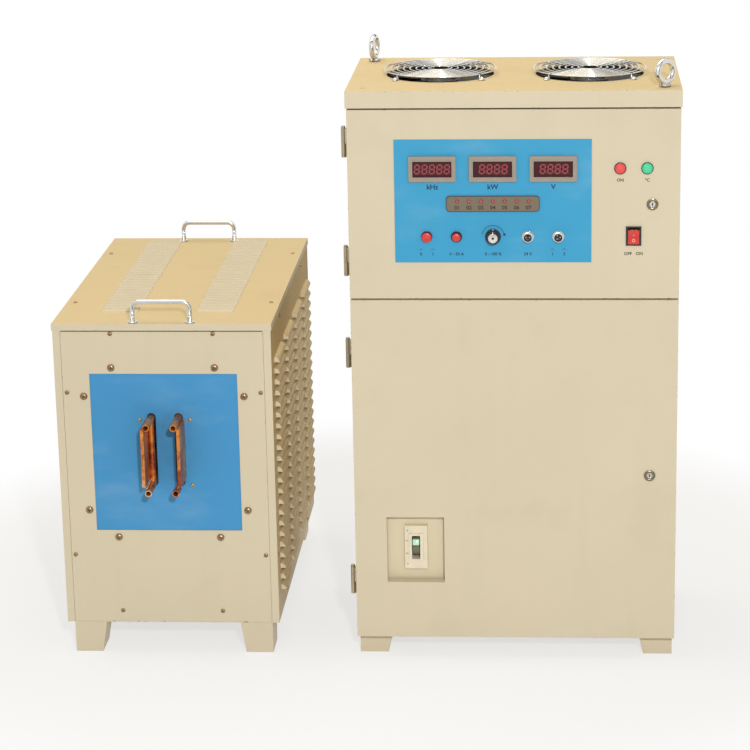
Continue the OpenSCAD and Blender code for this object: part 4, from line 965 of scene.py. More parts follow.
    def lay_on(self, node: str) -> None:
        """Moves everything made so far back along Y until it lies on a solid, and keeps its thickness.

        Args:
            node: The solid.
        """
        for vert in self.bm.verts:
            seat = self.place.seat(node, (vert.co.x, 0, vert.co.z), FRONT)
            vert.co.y += seat[1]

    def words(self, text: str, at: Point, height: float, thick: float = 0.04) -> None:
        """Adds a plain mark of letters or numbers, which faces the front and is centred.

        Args:
            text: What it says.
            at: Where its middle is.
            height: How tall its letters are.
            thick: How far it stands out.
        """
        curve = bpy.data.curves.new("mark", "FONT")
        curve.body = text
        curve.size = height * 1.4
        curve.align_x = "CENTER"
        curve.align_y = "CENTER"
        curve.extrude = thick / 2
        curve.resolution_u = 2
        curve.offset = 0.035 * height
        holder = add_object("mark", curve)
        shown = holder.evaluated_get(bpy.context.evaluated_depsgraph_get())
        mesh = bpy.data.meshes.new_from_object(shown)
        mesh.transform(Matrix.Translation(at) @ Matrix.Rotation(math.pi / 2, 4, "X"))
        self.bm.from_mesh(mesh)
        bpy.data.objects.remove(holder)
        bpy.data.curves.remove(curve)
        bpy.data.meshes.remove(mesh)

    def _sort(self) -> None:
        """Sorts vertices, edges and faces by where they are, because the operators' order changes each run."""
        for items in (self.bm.verts, self.bm.edges, self.bm.faces):
            places = {item: sorted(tuple(v.co) for v in getattr(item, "verts", [item])) for item in items}
            ranks = {item: rank for rank, item in enumerate(sorted(items, key=places.get))}
            items.sort(key=ranks.get)

    def piece(self, name: str, body: str, slot: str, finish: Finish | None = None,
              smooth_deg: float = 40.0) -> None:
        """Turns what was made into a piece that rides on a body.

        Args:
            name: The piece's name.
            body: The body that it rides on.
            slot: The record's material slot.
            finish: Its finish, or None for its slot's own.
            smooth_deg: Edges flatter than this are shaded smooth.
        """
        mesh = bpy.data.meshes.new(name)
        bmesh.ops.transform(self.bm, verts=self.bm.verts[:], matrix=self.place.matrix())
        self._sort()
        self.bm.to_mesh(mesh)
        self.bm.free()
        mesh.shade_smooth()
        mesh.set_sharp_from_angle(angle=math.radians(smooth_deg))
        piece = add_object(name, mesh)
        corners = [Vector(c) for c in piece.bound_box]
        look = finish or FINISHES[slot]
        mesh.materials.append(look.make(name + "_finish", corners[0], corners[6]))
        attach(piece, body)
        log.info("made %s with %d faces", name, len(mesh.polygons))


# A domed screw head's profile, from its seat to the rim of its recess, in shares of its radius and height.
SCREW_DOME = ((1.0, 0.0), (1.0, 0.18), (0.93, 0.55), (0.72, 0.85), (0.5, 0.97))


def loop_edges(bm: bmesh.types.BMesh, verts: Sequence[bmesh.types.BMVert]) -> list[bmesh.types.BMEdge]:
    """Joins vertices into a closed loop."""
    return [bm.edges.new((verts[i], verts[(i + 1) % len(verts)])) for i in range(len(verts))]


def add_screw(maker: Maker, at: Point, axis: Point, radius: float, turn_deg: float) -> None:
    """Adds a domed screw head with a cross recess.

    Args:
        maker: The piece that it is added to.
        at: Where its seat is.
        axis: The direction that its head looks in.
        radius: Radius of the head.
        turn_deg: Turn of its recess.
    """
    bm = maker.bm
    height = 0.62 * radius
    rings = []
    for wide, high in SCREW_DOME:
        ring = bmesh.ops.create_circle(bm, cap_ends=False, segments=16, radius=wide * radius)["verts"]
        bmesh.ops.translate(bm, verts=ring, vec=(0, 0, high * height))
        rings.append(ring)
    arm, half = 0.46 * radius, 0.11 * radius
    corners = [(arm, -half), (arm, half), (half, half), (half, arm), (-half, arm), (-half, half),
               (-arm, half), (-arm, -half), (-half, -half), (-half, -arm), (half, -arm), (half, -half)]
    cross = [bm.verts.new((x, y, height)) for x, y in corners]
    cross_edges = loop_edges(bm, cross)
    loops = [unique(e for v in ring for e in v.link_edges) for ring in rings] + [cross_edges]
    for lower, upper in zip(loops, loops[1:]):
        bmesh.ops.bridge_loops(bm, edges=lower + upper)
    floor_verts = [bm.verts.new((0.8 * v.co.x, 0.8 * v.co.y, 0.35 * height)) for v in cross]
    bmesh.ops.bridge_loops(bm, edges=cross_edges + loop_edges(bm, floor_verts))
    bm.faces.new(floor_verts)
    bm.faces.new(rings[0])
    verts = [v for ring in rings for v in ring] + cross + floor_verts
    bmesh.ops.recalc_face_normals(bm, faces=unique(f for v in verts for f in v.link_faces))
    bmesh.ops.transform(bm, verts=verts, matrix=standing(at, axis, turn_deg))


WELD_M = 0.00002
FLAT_DEG = 0.6
BEVELLED_DEG = 50.0
SHARP_DEG = 35.0


def dress(node: str, edge_mm: float, finish: Finish | None = None) -> None:
    """Gives a solid its finish, merges its triangles and rounds its edges.

    Args:
        node: The solid's name.
        edge_mm: How wide its rounded edges are, or 0 for sharp ones.
        finish: Its finish, or None for its slot's own.
    """
    solid = frame["nodes"][node]
    slots = {part["node"]: part["material_slot"] for part in frame["record"]["subparts"]}
    low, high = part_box(node)
    solid.data.materials.clear()
    look = finish or FINISHES[slots[node]]
    solid.data.materials.append(look.make(node + "_finish", low, high))
    weld = solid.modifiers.new("weld", "WELD")
    weld.merge_threshold = WELD_M
    flat = solid.modifiers.new("flatten", "DECIMATE")
    flat.decimate_type = "DISSOLVE"
    flat.angle_limit = math.radians(FLAT_DEG)
    if edge_mm:
        edge = solid.modifiers.new("edges", "BEVEL")
        edge.width = edge_mm * MM
        edge.segments = 2
        edge.limit_method = "ANGLE"
        edge.angle_limit = math.radians(BEVELLED_DEG)
        edge.use_clamp_overlap = True
        edge.harden_normals = False
    for face in solid.data.polygons:
        face.use_smooth = True
    if solid.data.has_custom_normals:
        solid.data.attributes.remove(solid.data.attributes["custom_normal"])
    solid.data.set_sharp_from_angle(angle=math.radians(SHARP_DEG))
    even = solid.modifiers.new("even_shading", "WEIGHTED_NORMAL")
    even.keep_sharp = True
    log.info("dressed %s", node)


def dress_all(edges_mm: dict[str, float]) -> None:
    """Dresses solids in their slots' own finishes.

    Args:
        edges_mm: How wide each solid's rounded edges are, by its name.
    """
    for node, edge_mm in edges_mm.items():
        dress(node, edge_mm)


@dataclass(frozen=True)
class SoftBox:
    """A square soft light: its name, where it hangs, its width, its power and its tint."""

    name: str
    at: Point
    size: float
    watts: float
    tint: Colour = (1.0, 1.0, 1.0)


@dataclass(frozen=True)
class DarkBoard:
    """A dark board: its name, its middle, its width and height, and whether it lies level."""

    name: str
    at: Point
    size: tuple[float, float]
    level: bool = False


@dataclass
class Studio:
    """The camera, the floor, the soft lights, and the dark boards that only mirrors see."""

    eye: Point = (0.3441, -4.4945, 1.7250)
    yaw_deg: float = 3.332
    down_deg: float = 15.792
    roll_deg: float = -0.853
    lens_mm: float = 121.89
    sensor_mm: float = 36.0
    shift: tuple[float, float] = (-0.06, -0.02)
    sight: float = 200.0
    floor_size: float = 60.0
    floor_grey: Colour = (0.93, 0.93, 0.93)
    floor_fade: tuple[float, float] = (0.55, 1.3)
    floor_glow: float = 0.66
    sky: float = 0.41
    sky_tint: Colour = (1.0, 0.95, 0.86)
    board_brown: Colour = (0.035, 0.025, 0.02)
    light_aim: Point = (0.05, 0.0, 0.45)
    board_aim: Point = (0.05, 0.0, 0.6)
    lights: tuple[SoftBox, ...] = (
        SoftBox("key", (0.75, -4.4, 2.3), 0.16, 92.0),
        SoftBox("roof", (-0.4, 0.2, 3.4), 2.4, 39.0, (1.0, 0.93, 0.8)),
    )
    boards: tuple[DarkBoard, ...] = (
        DarkBoard("flag_left", (-3.2, -2.6, 1.0), (0.9, 3.2)),
        DarkBoard("flag_right", (3.0, -2.2, 0.9), (1.1, 3.0)),
        DarkBoard("flag_low", (0.3, -1.9, 0.03), (3.6, 1.1), level=True),
        DarkBoard("flag_roof", (0.0, -1.5, 3.1), (5.0, 0.7), level=True),
        DarkBoard("flag_rear", (0.2, 1.9, 0.03), (2.6, 2.4), level=True),
        DarkBoard("flag_back", (0.0, 2.6, 2.4), (5.0, 0.9)),
    )

    def camera(self) -> None:
        """Sets the camera at the photograph's angle."""
        data = bpy.data.cameras.new("camera")
        data.lens = self.lens_mm
        data.sensor_width = self.sensor_mm
        data.shift_x, data.shift_y = self.shift
        data.clip_end = self.sight
        camera = add_object("camera", data)
        camera.matrix_world = (
            Matrix.Translation(self.eye)
            @ Matrix.Rotation(math.radians(self.yaw_deg), 4, "Z")
            @ Matrix.Rotation(math.radians(90 - self.down_deg), 4, "X")
            @ Matrix.Rotation(math.radians(self.roll_deg), 4, "Z")
        )
        bpy.context.scene.camera = camera

    def rectangle(self, name: str, size: tuple[float, float], segments: int,
                  stand: Matrix) -> bpy.types.Object:
        """Adds a flat rectangle to the scene.

        Args:
            name: Its name.
            size: Its width and height.
            segments: Number of divisions along each side.
            stand: Where it goes from lying level round the origin.

        Returns:
            The rectangle.
        """
        bm = bmesh.new()
        made = bmesh.ops.create_grid(bm, x_segments=segments, y_segments=segments, size=0.5)["verts"]
        bmesh.ops.scale(bm, verts=made, vec=(*size, 1))
        bmesh.ops.transform(bm, verts=made, matrix=stand)
        mesh = bpy.data.meshes.new(name)
        bm.to_mesh(mesh)
        bm.free()
        return add_object(name, mesh)

    def floor(self) -> None:
        """Lays the pale floor, which fades to white far from the object."""
        floor = self.rectangle("floor", (self.floor_size, self.floor_size), 2, Matrix())
        paint = Paint("floor_white")
        paint.finish(Base_Color=self.floor_grey, Roughness=0.9, Specular_IOR_Level=0.0)
        x, y, _ = paint.axes()
        away = (x * x + y * y).ramp(*self.floor_fade) * (1.0 - self.floor_glow) + self.floor_glow
        rays = paint.node("ShaderNodeLightPath")
        direct = Value(paint, rays.outputs["Is Camera Ray"]).most(Value(paint, rays.outputs["Is Glossy Ray"]))
        white = paint.node("ShaderNodeEmission", {}, {"Color": (1, 1, 1), "Strength": 1.0})
        mix = paint.node("ShaderNodeMixShader", {}, {0: away * direct})
        output = next(n for n in paint.tree.nodes if n.type == "OUTPUT_MATERIAL")
        paint.tree.links.new(paint.shader.outputs[0], mix.inputs[1])
        paint.tree.links.new(white.outputs[0], mix.inputs[2])
        paint.tree.links.new(mix.outputs[0], output.inputs[0])
        floor.data.materials.append(paint.material)

    def add_light(self, box: SoftBox) -> None:
        """Hangs a soft box that looks at the object's middle.

        Args:
            box: The soft box.
        """
        data = bpy.data.lights.new(box.name, "AREA")
        data.size = box.size
        data.energy = box.watts
        data.color = box.tint
        light = add_object(box.name, data)
        aim = Vector(self.light_aim) - Vector(box.at)
        light.matrix_world = Matrix.Translation(box.at) @ aim.to_track_quat("-Z", "Y").to_matrix().to_4x4()

    def add_board(self, dark: DarkBoard) -> None:
        """Stands a dark board, which only mirrors see, so that metal has contrast.

        Args:
            dark: The board.
        """
        look = Vector(UP) if dark.level else Vector(self.board_aim) - Vector(dark.at)
        aim = look.to_track_quat("Z", "Y").to_matrix().to_4x4()
        board = self.rectangle(dark.name, dark.size, 1, Matrix.Translation(dark.at) @ aim)
        board.visible_camera = False
        board.visible_diffuse = False
        board.visible_shadow = False
        cloth = Paint(dark.name + "_cloth")
        cloth.finish(Base_Color=self.board_brown, Roughness=1.0, Specular_IOR_Level=0.0)
        board.data.materials.append(cloth.material)

    def sky_light(self) -> None:
        """Lights everything evenly, and shows plain white behind the object and in what mirrors it."""
        world = bpy.data.worlds.new("white_room")
        bpy.context.scene.world = world
        world.use_nodes = True
        tree = world.node_tree
        tree.nodes.clear()
        rays = tree.nodes.new("ShaderNodeLightPath")
        seen = tree.nodes.new("ShaderNodeMath")
        seen.operation = "MAXIMUM"
        tree.links.new(rays.outputs["Is Camera Ray"], seen.inputs[0])
        tree.links.new(rays.outputs["Is Glossy Ray"], seen.inputs[1])
        dim = tree.nodes.new("ShaderNodeBackground")
        dim.inputs["Strength"].default_value = self.sky
        white = tree.nodes.new("ShaderNodeBackground")
        for shader, tint in ((dim, self.sky_tint), (white, (1, 1, 1))):
            shader.inputs["Color"].default_value = (*tint, 1)
        mix = tree.nodes.new("ShaderNodeMixShader")
        output = tree.nodes.new("ShaderNodeOutputWorld")
        for start, end in ((seen, mix.inputs[0]), (dim, mix.inputs[1]), (white, mix.inputs[2]),
                           (mix, output.inputs[0])):
            tree.links.new(start.outputs[0], end)

    def build(self) -> None:
        """Sets up everything round the object."""
        self.camera()
        self.floor()
        self.sky_light()
        for box in self.lights:
            self.add_light(box)
        for board in self.boards:
            self.add_board(board)
        bpy.context.scene.view_settings.view_transform = "Standard"


@dataclass(frozen=True)
class Screw:
    """One domed screw: its place in the cabinet's frame, the solid that it sits on, and its size."""

    x: float
    y: float
    z: float
    node: str
    axis: Point
    radius: float


@dataclass
class Assembly:
    """Pieces of one cabinet, placed in its own frame in millimetres."""

    place: Place

    def makers(self, count: int) -> list[Maker]:
        """Starts a number of pieces."""
        return [Maker(self.place) for _ in range(count)]

    def dial(self, name: str, body: str, slot: str, profile: Outline, at: Point,
             finish: Finish | None = None, smooth_deg: float = 60.0) -> None:
        """Makes one round piece that faces the front.

        Args:
            name: Its name.
            body: The body that it rides on.
            slot: Its material slot.
            profile: Its radius and height, point by point.
            at: The middle of its foot.
            finish: Its finish, or None for its slot's own.
            smooth_deg: Edges flatter than this are shaded smooth.
        """
        maker = Maker(self.place)
        maker.turned(profile, at, FRONT, 48)
        maker.piece(name, body, slot, finish, smooth_deg)

    def add_screws(self, name: str, slot: str, screws: Sequence[Screw], finish: Finish | None = None) -> None:
        """Makes a set of screws on the cabinet, each turned to its own angle.

        Args:
            name: The piece's name.
            slot: Its material slot.
            screws: The screws.
            finish: Their finish, or None for the slot's own.
        """
        maker = Maker(self.place)
        for count, screw in enumerate(screws):
            seat = self.place.seat(screw.node, (screw.x, screw.y, screw.z), screw.axis)
            add_screw(maker, seat, screw.axis, screw.radius, 37.0 * count % 90)
        maker.piece(name, "cabinet", slot, finish)


class Digit(Enum):
    """The seven strokes of a display digit, as the ends of each in shares of its width and height."""

    TOP = ((-0.5, 0.5), (0.5, 0.5))
    MIDDLE = ((-0.5, 0.0), (0.5, 0.0))
    BOTTOM = ((-0.5, -0.5), (0.5, -0.5))
    UPPER_LEFT = ((-0.5, 0.5), (-0.5, 0.0))
    UPPER_RIGHT = ((0.5, 0.5), (0.5, 0.0))
    LOWER_LEFT = ((-0.5, 0.0), (-0.5, -0.5))
    LOWER_RIGHT = ((0.5, 0.0), (0.5, -0.5))


@dataclass
class ControlPanel(Assembly):
    """The blue panel with its meters, light strip, buttons, knob and sockets."""

    middle_x: float = -34.51
    film_y: float = -1.0
    ink: float = 0.05
    meter_pitch: float = 101.2
    meter_z: float = 877.25
    glass_y: float = -5.0
    glass_rim: tuple[float, float] = (69.5, 31.0)
    glass_rim_w: float = 1.95
    glass_rim_y: float = -7.0
    glass_rim_t: float = 0.7
    bezel_rim: tuple[float, float] = (79.4, 43.4)
    bezel_rim_w: float = 0.9
    bezel_rim_t: float = 5.2
    digit_w: float = 7.8
    digit_h: float = 14.6
    digit_pitch: float = 12.5
    digit_slant: float = 0.08
    stroke: float = 2.6
    dot_gap: float = 1.9
    dot_r: float = 0.7
    strip_z: float = 817.75
    strip_y: float = -3.5
    strip_rim: tuple[float, float] = (157.2, 27.2)
    strip_rim_w: float = 1.2
    strip_rim_t: float = 2.7
    lights: int = 7
    light_z: float = 822.25
    light_pitch: float = 20.0
    number_z: float = 811.2
    number_size: float = 6.6
    ring: Outline = ((2.0, 0), (3.3, 0), (3.3, 1.2), (2.9, 1.7), (2.3, 1.7), (2.0, 1.3), (2.0, 0))
    dome: Outline = ((0, 0), (2.1, 0), (2.1, 1.1), (1.6, 1.7), (0.8, 2.1), (0, 2.2))
    row_z: float = 761.25
    start_x: float = -146.01
    start_y: float = -7.4
    start_face: Outline = ((0, 0), (8.2, 0), (8.5, 0.4), (8.5, 1.1), (7.8, 1.9), (5.0, 2.5), (0, 2.8))
    stop_x: float = -96.01
    stop_y: float = -8.4
    stop_face: Outline = ((0, 0), (6.9, 0), (7.1, 0.3), (6.9, 1.0), (5.6, 1.7), (3.0, 2.1), (0, 2.2))
    knob_y: float = -17.0
    pointer_edge: float = 0.1
    skirt_line: tuple[Point, Point] = ((-0.7, -4.75, 9.6), (0.7, -4.3, 13.0))
    grip_line: tuple[Point, Point] = ((-0.6, -16.8, 7.9), (0.6, -16.2, 10.9))
    knob_cap: Outline = ((0, 0), (7.9, 0), (7.9, 0.5), (7.3, 1.1), (6.6, 1.1), (6.4, 0.8), (0, 0.5))
    socket_two_x: float = 23.99
    socket_three_x: float = 74.99
    insert_y: float = -3.0
    insert: Outline = ((0, 0), (6.55, 0), (6.55, 1.6), (5.9, 2.0), (5.2, 1.7), (0, 1.7))
    key_rib: tuple[Point, Point] = ((-0.9, -11.6, 5.4), (0.9, -4.5, 6.6))
    key_edge: float = 0.2
    thread_y: float = -4.2
    thread: Outline = ((7.9, 0), (8.3, 0.45), (7.9, 0.9), (7.9, 0))
    threads: int = 8
    unit_z: float = 846.0
    unit_size: float = 8.6
    label_z: float = 731.0
    label_size: float = 5.2
    beside: float = 10.0
    arc_rise: tuple[float, float] = (6.6, 5.4)
    arc_r: tuple[float, float] = (2.0, 3.2)
    arc_w: float = 0.7
    scale_r: tuple[float, float] = (18.6, 19.5)
    scale_deg: tuple[float, float] = (18.0, 170.0)
    scale_dot: tuple[float, float] = (19.0, 3.4)
    scale_dot_r: float = 2.1
    lamp_z: float = 877.25
    lamp_y: float = -2.9
    lamp_skirt: Outline = ((7.0, 0), (8.8, 0), (8.8, 0.5), (8.3, 1.2), (7.6, 2.0), (7.0, 2.2), (7.0, 0))
    lamp_label_z: float = 856.8
    door_label_size: float = 5.4
    red_x: float = 177.99
    green_x: float = 222.98
    rocker_x: float = 201.0
    rocker_rise: float = 0.5
    dash_x: float = 3.4
    dash_z: float = 10.4
    dash: tuple[float, float, float] = (5.2, 1.3, 0.5)
    dot_z: float = 2.2
    rocker_dot_r: float = 0.8
    ring_z: float = -7.4
    ring_r: tuple[float, float] = (2.6, 1.7)

    def build(self) -> None:
        """Builds every piece of the panel."""
        dress_all({
            "control_panel": 0.0, "panel_meters": 0.9, "meter_windows": 0.0, "status_strip": 0.5,
            "start_button": 0.5, "stop_button": 0.8, "power_knob": 0.3, "potentiometer": 0.4,
            "socket_two_pin": 0.35, "socket_three_pin": 0.35, "power_lamp": 0.2, "heating_lamp": 0.2,
            "rocker_frame": 0.5, "power_rocker": 0.4,
        })
        dress("panel_collars", 0.5, DARK_CHROME)
        self.meters()
        self.strip()
        self.buttons()
        self.lamp_skirts()
        self.knob()
        self.sockets()
        self.marks()
        self.rocker_marks()

    def meters(self) -> None:
        """Builds the display digits, five in the left meter and four in the others, and the meters' rims."""
        digits, rims = self.makers(2)
        for meter, count in ((-1, 5), (0, 4), (1, 4)):
            middle = self.middle_x + meter * self.meter_pitch
            first = middle - (2 if count == 5 else 1.4) * self.digit_pitch
            for place in range(count):
                x = first + place * self.digit_pitch
                for stroke in Digit:
                    self.add_stroke(digits, x, stroke)
                digits.sheet(circle(x + 0.5 * self.digit_w + self.dot_gap, self.meter_z - self.digit_h / 2,
                                    self.dot_r, steps=8), self.glass_y, self.ink)
            rims.border(middle, self.meter_z, self.glass_rim, self.glass_rim_w, (1.6, 0.8),
                        self.glass_rim_y, self.glass_rim_t)
            rims.border(middle, self.meter_z, self.bezel_rim, self.bezel_rim_w, (2.4, 1.8),
                        self.film_y, self.bezel_rim_t)
        digits.piece("meter_digits", "upper_door", "display_window", DIGIT_RED)
        rims.piece("meter_rims", "upper_door", "bezel_plastic")

    def add_stroke(self, maker: Maker, x: float, stroke: Digit) -> None:
        """Adds one stroke of a digit, pointed at both ends and slanted.

        Args:
            maker: The piece that it is added to.
            x: Where the digit's middle is, across.
            stroke: Which stroke it is.
        """
        start, end = (Vector((wide * self.digit_w, high * self.digit_h)) for wide, high in stroke.value)
        along = (end - start).normalized()
        across = Vector((-along.y, along.x)) * self.stroke / 2
        tip = along * self.stroke / 2
        corners = [start + tip * 0.3, start + tip * 1.3 - across, end - tip * 1.3 - across, end - tip * 0.3,
                   end - tip * 1.3 + across, start + tip * 1.3 + across]
        outline = [(x + c.x + self.digit_slant * c.y, self.meter_z + c.y) for c in corners]
        maker.sheet(outline, self.glass_y, self.ink)

    def strip(self) -> None:
        """Builds the strip's dark outline, its seven ring lights and their numbers."""
        edge, rings, domes, numbers = self.makers(4)
        edge.border(self.middle_x, self.strip_z, self.strip_rim, self.strip_rim_w, (6.6, 5.4),
                    self.film_y, self.strip_rim_t)
        edge.piece("strip_outline", "upper_door", "strip_metal", STRIP_EDGE)
        for count in range(self.lights):
            x = self.middle_x + (count - self.lights // 2) * self.light_pitch
            rings.turned(self.ring, (x, self.strip_y, self.light_z), FRONT, 20)
            domes.turned(self.dome, (x, self.strip_y, self.light_z), FRONT, 16)
            numbers.words(f"0{count + 1}", (x, self.strip_y - self.ink / 2, self.number_z), self.number_size)
        rings.piece("strip_rings", "upper_door", "red_lens", DIM_RED)
        domes.piece("strip_lamps", "upper_door", "red_lens", DIM_ROSE)
        numbers.piece("strip_numbers", "upper_door", "strip_metal", STRIP_INK)

    def buttons(self) -> None:
        """Builds the domed faces of the two push buttons."""
        for button, face, x, y in (("start_button", self.start_face, self.start_x, self.start_y),
                                   ("stop_button", self.stop_face, self.stop_x, self.stop_y)):
            self.dial(button + "_face", button, "red_plastic", face, (x, y, self.row_z))

    def lamp_skirts(self) -> None:
        """Builds the sloping skirt round each lamp's lens."""
        for colour, x in (("red", self.red_x), ("green", self.green_x)):
            self.dial(f"{colour}_lamp_skirt", "upper_door", f"{colour}_lens", self.lamp_skirt,
                      (x, self.lamp_y, self.lamp_z))

    def knob(self) -> None:
        """Builds the knob's bright cap, and its pointer line on the skirt and on the grip."""
        self.dial("knob_cap", "power_knob", "plain_aluminium", self.knob_cap,
                  (self.middle_x, self.knob_y, self.row_z), CAP_ALUMINIUM, 40.0)
        pointer = Maker(self.place)
        for line in (self.skirt_line, self.grip_line):
            pointer.block_at((self.middle_x, 0, self.row_z), *line, self.pointer_edge)
        pointer.piece("knob_pointer", "power_knob", "bezel_plastic", WHITE_INK)

    def sockets(self) -> None:
        """Builds the sockets' dark inserts, their key ribs and their threads."""
        inserts, threads = self.makers(2)
        for x in (self.socket_two_x, self.socket_three_x):
            inserts.turned(self.insert, (x, self.insert_y, self.row_z), FRONT, 40)
            inserts.block_at((x, 0, self.row_z), *self.key_rib, self.key_edge)
            for step in range(self.threads):
                threads.turned(self.thread, (x, self.thread_y - step, self.row_z), FRONT, 40)
        inserts.piece("socket_inserts", "upper_door", "black_plastic")
        threads.piece("socket_threads", "upper_door", "chrome_steel")

    def marks(self) -> None:
        """Prints plain units, numbers and switch marks."""
        film, door = self.makers(2)
        y = self.film_y - self.ink / 2
        for unit, meter in (("kHz", -1), ("kW", 0), ("V", 1)):
            film.words(unit, (self.middle_x + meter * self.meter_pitch, y, self.unit_z), self.unit_size)
        for text, x in (("0", self.start_x - self.beside), ("1", self.start_x + self.beside),
                        ("0 - 50 A", self.stop_x), ("0 - 100 %", self.middle_x), ("24 V", self.socket_two_x),
                        ("1", self.socket_three_x - self.beside), ("2", self.socket_three_x + self.beside)):
            film.words(text, (x, y, self.label_z), self.label_size)
        for x in (self.start_x, self.socket_three_x):
            for side, rise, r, start in zip((-1, 1), self.arc_rise, self.arc_r, (20, 35)):
                arc = band(x + side * self.beside, self.label_z + rise, r, r + self.arc_w, start, 180 - start)
                film.sheet(arc, self.film_y, self.ink)
        film.sheet(band(self.middle_x, self.row_z, *self.scale_r, *self.scale_deg), self.film_y, self.ink)
        across, up = self.scale_dot
        film.sheet(circle(self.middle_x + across, self.row_z + up, self.scale_dot_r), self.film_y, self.ink)
        film.piece("panel_marks", "upper_door", "panel_film", NAVY_INK)
        for text, x, z in (("ON", self.red_x, self.lamp_label_z),
                           ("\u00b0C", self.green_x, self.lamp_label_z),
                           ("OFF   ON", self.rocker_x, self.label_z)):
            door.words(text, (x, -self.ink / 2, z), self.door_label_size)
        door.piece("door_marks", "upper_door", "cream_paint", BROWN_INK)

    def rocker_marks(self) -> None:
        """Prints the dash, the dot and the ring on the rocker's two faces."""
        maker = Maker(self.place)
        x, z = self.rocker_x, self.row_z + self.rocker_rise
        for side in (-self.dash_x, self.dash_x):
            maker.sheet(oblong(x + side, z + self.dash_z, *self.dash), 0, self.ink)
        maker.sheet(circle(x, z + self.dot_z, self.rocker_dot_r, steps=12), 0, self.ink)
        outer, inner = (circle(x, z + self.ring_z, radius) for radius in self.ring_r)
        maker.rim(outer, inner, 0, self.ink)
        maker.lay_on("power_rocker")
        maker.piece("rocker_marks", "power_rocker", "bezel_plastic", LIT_ORANGE)


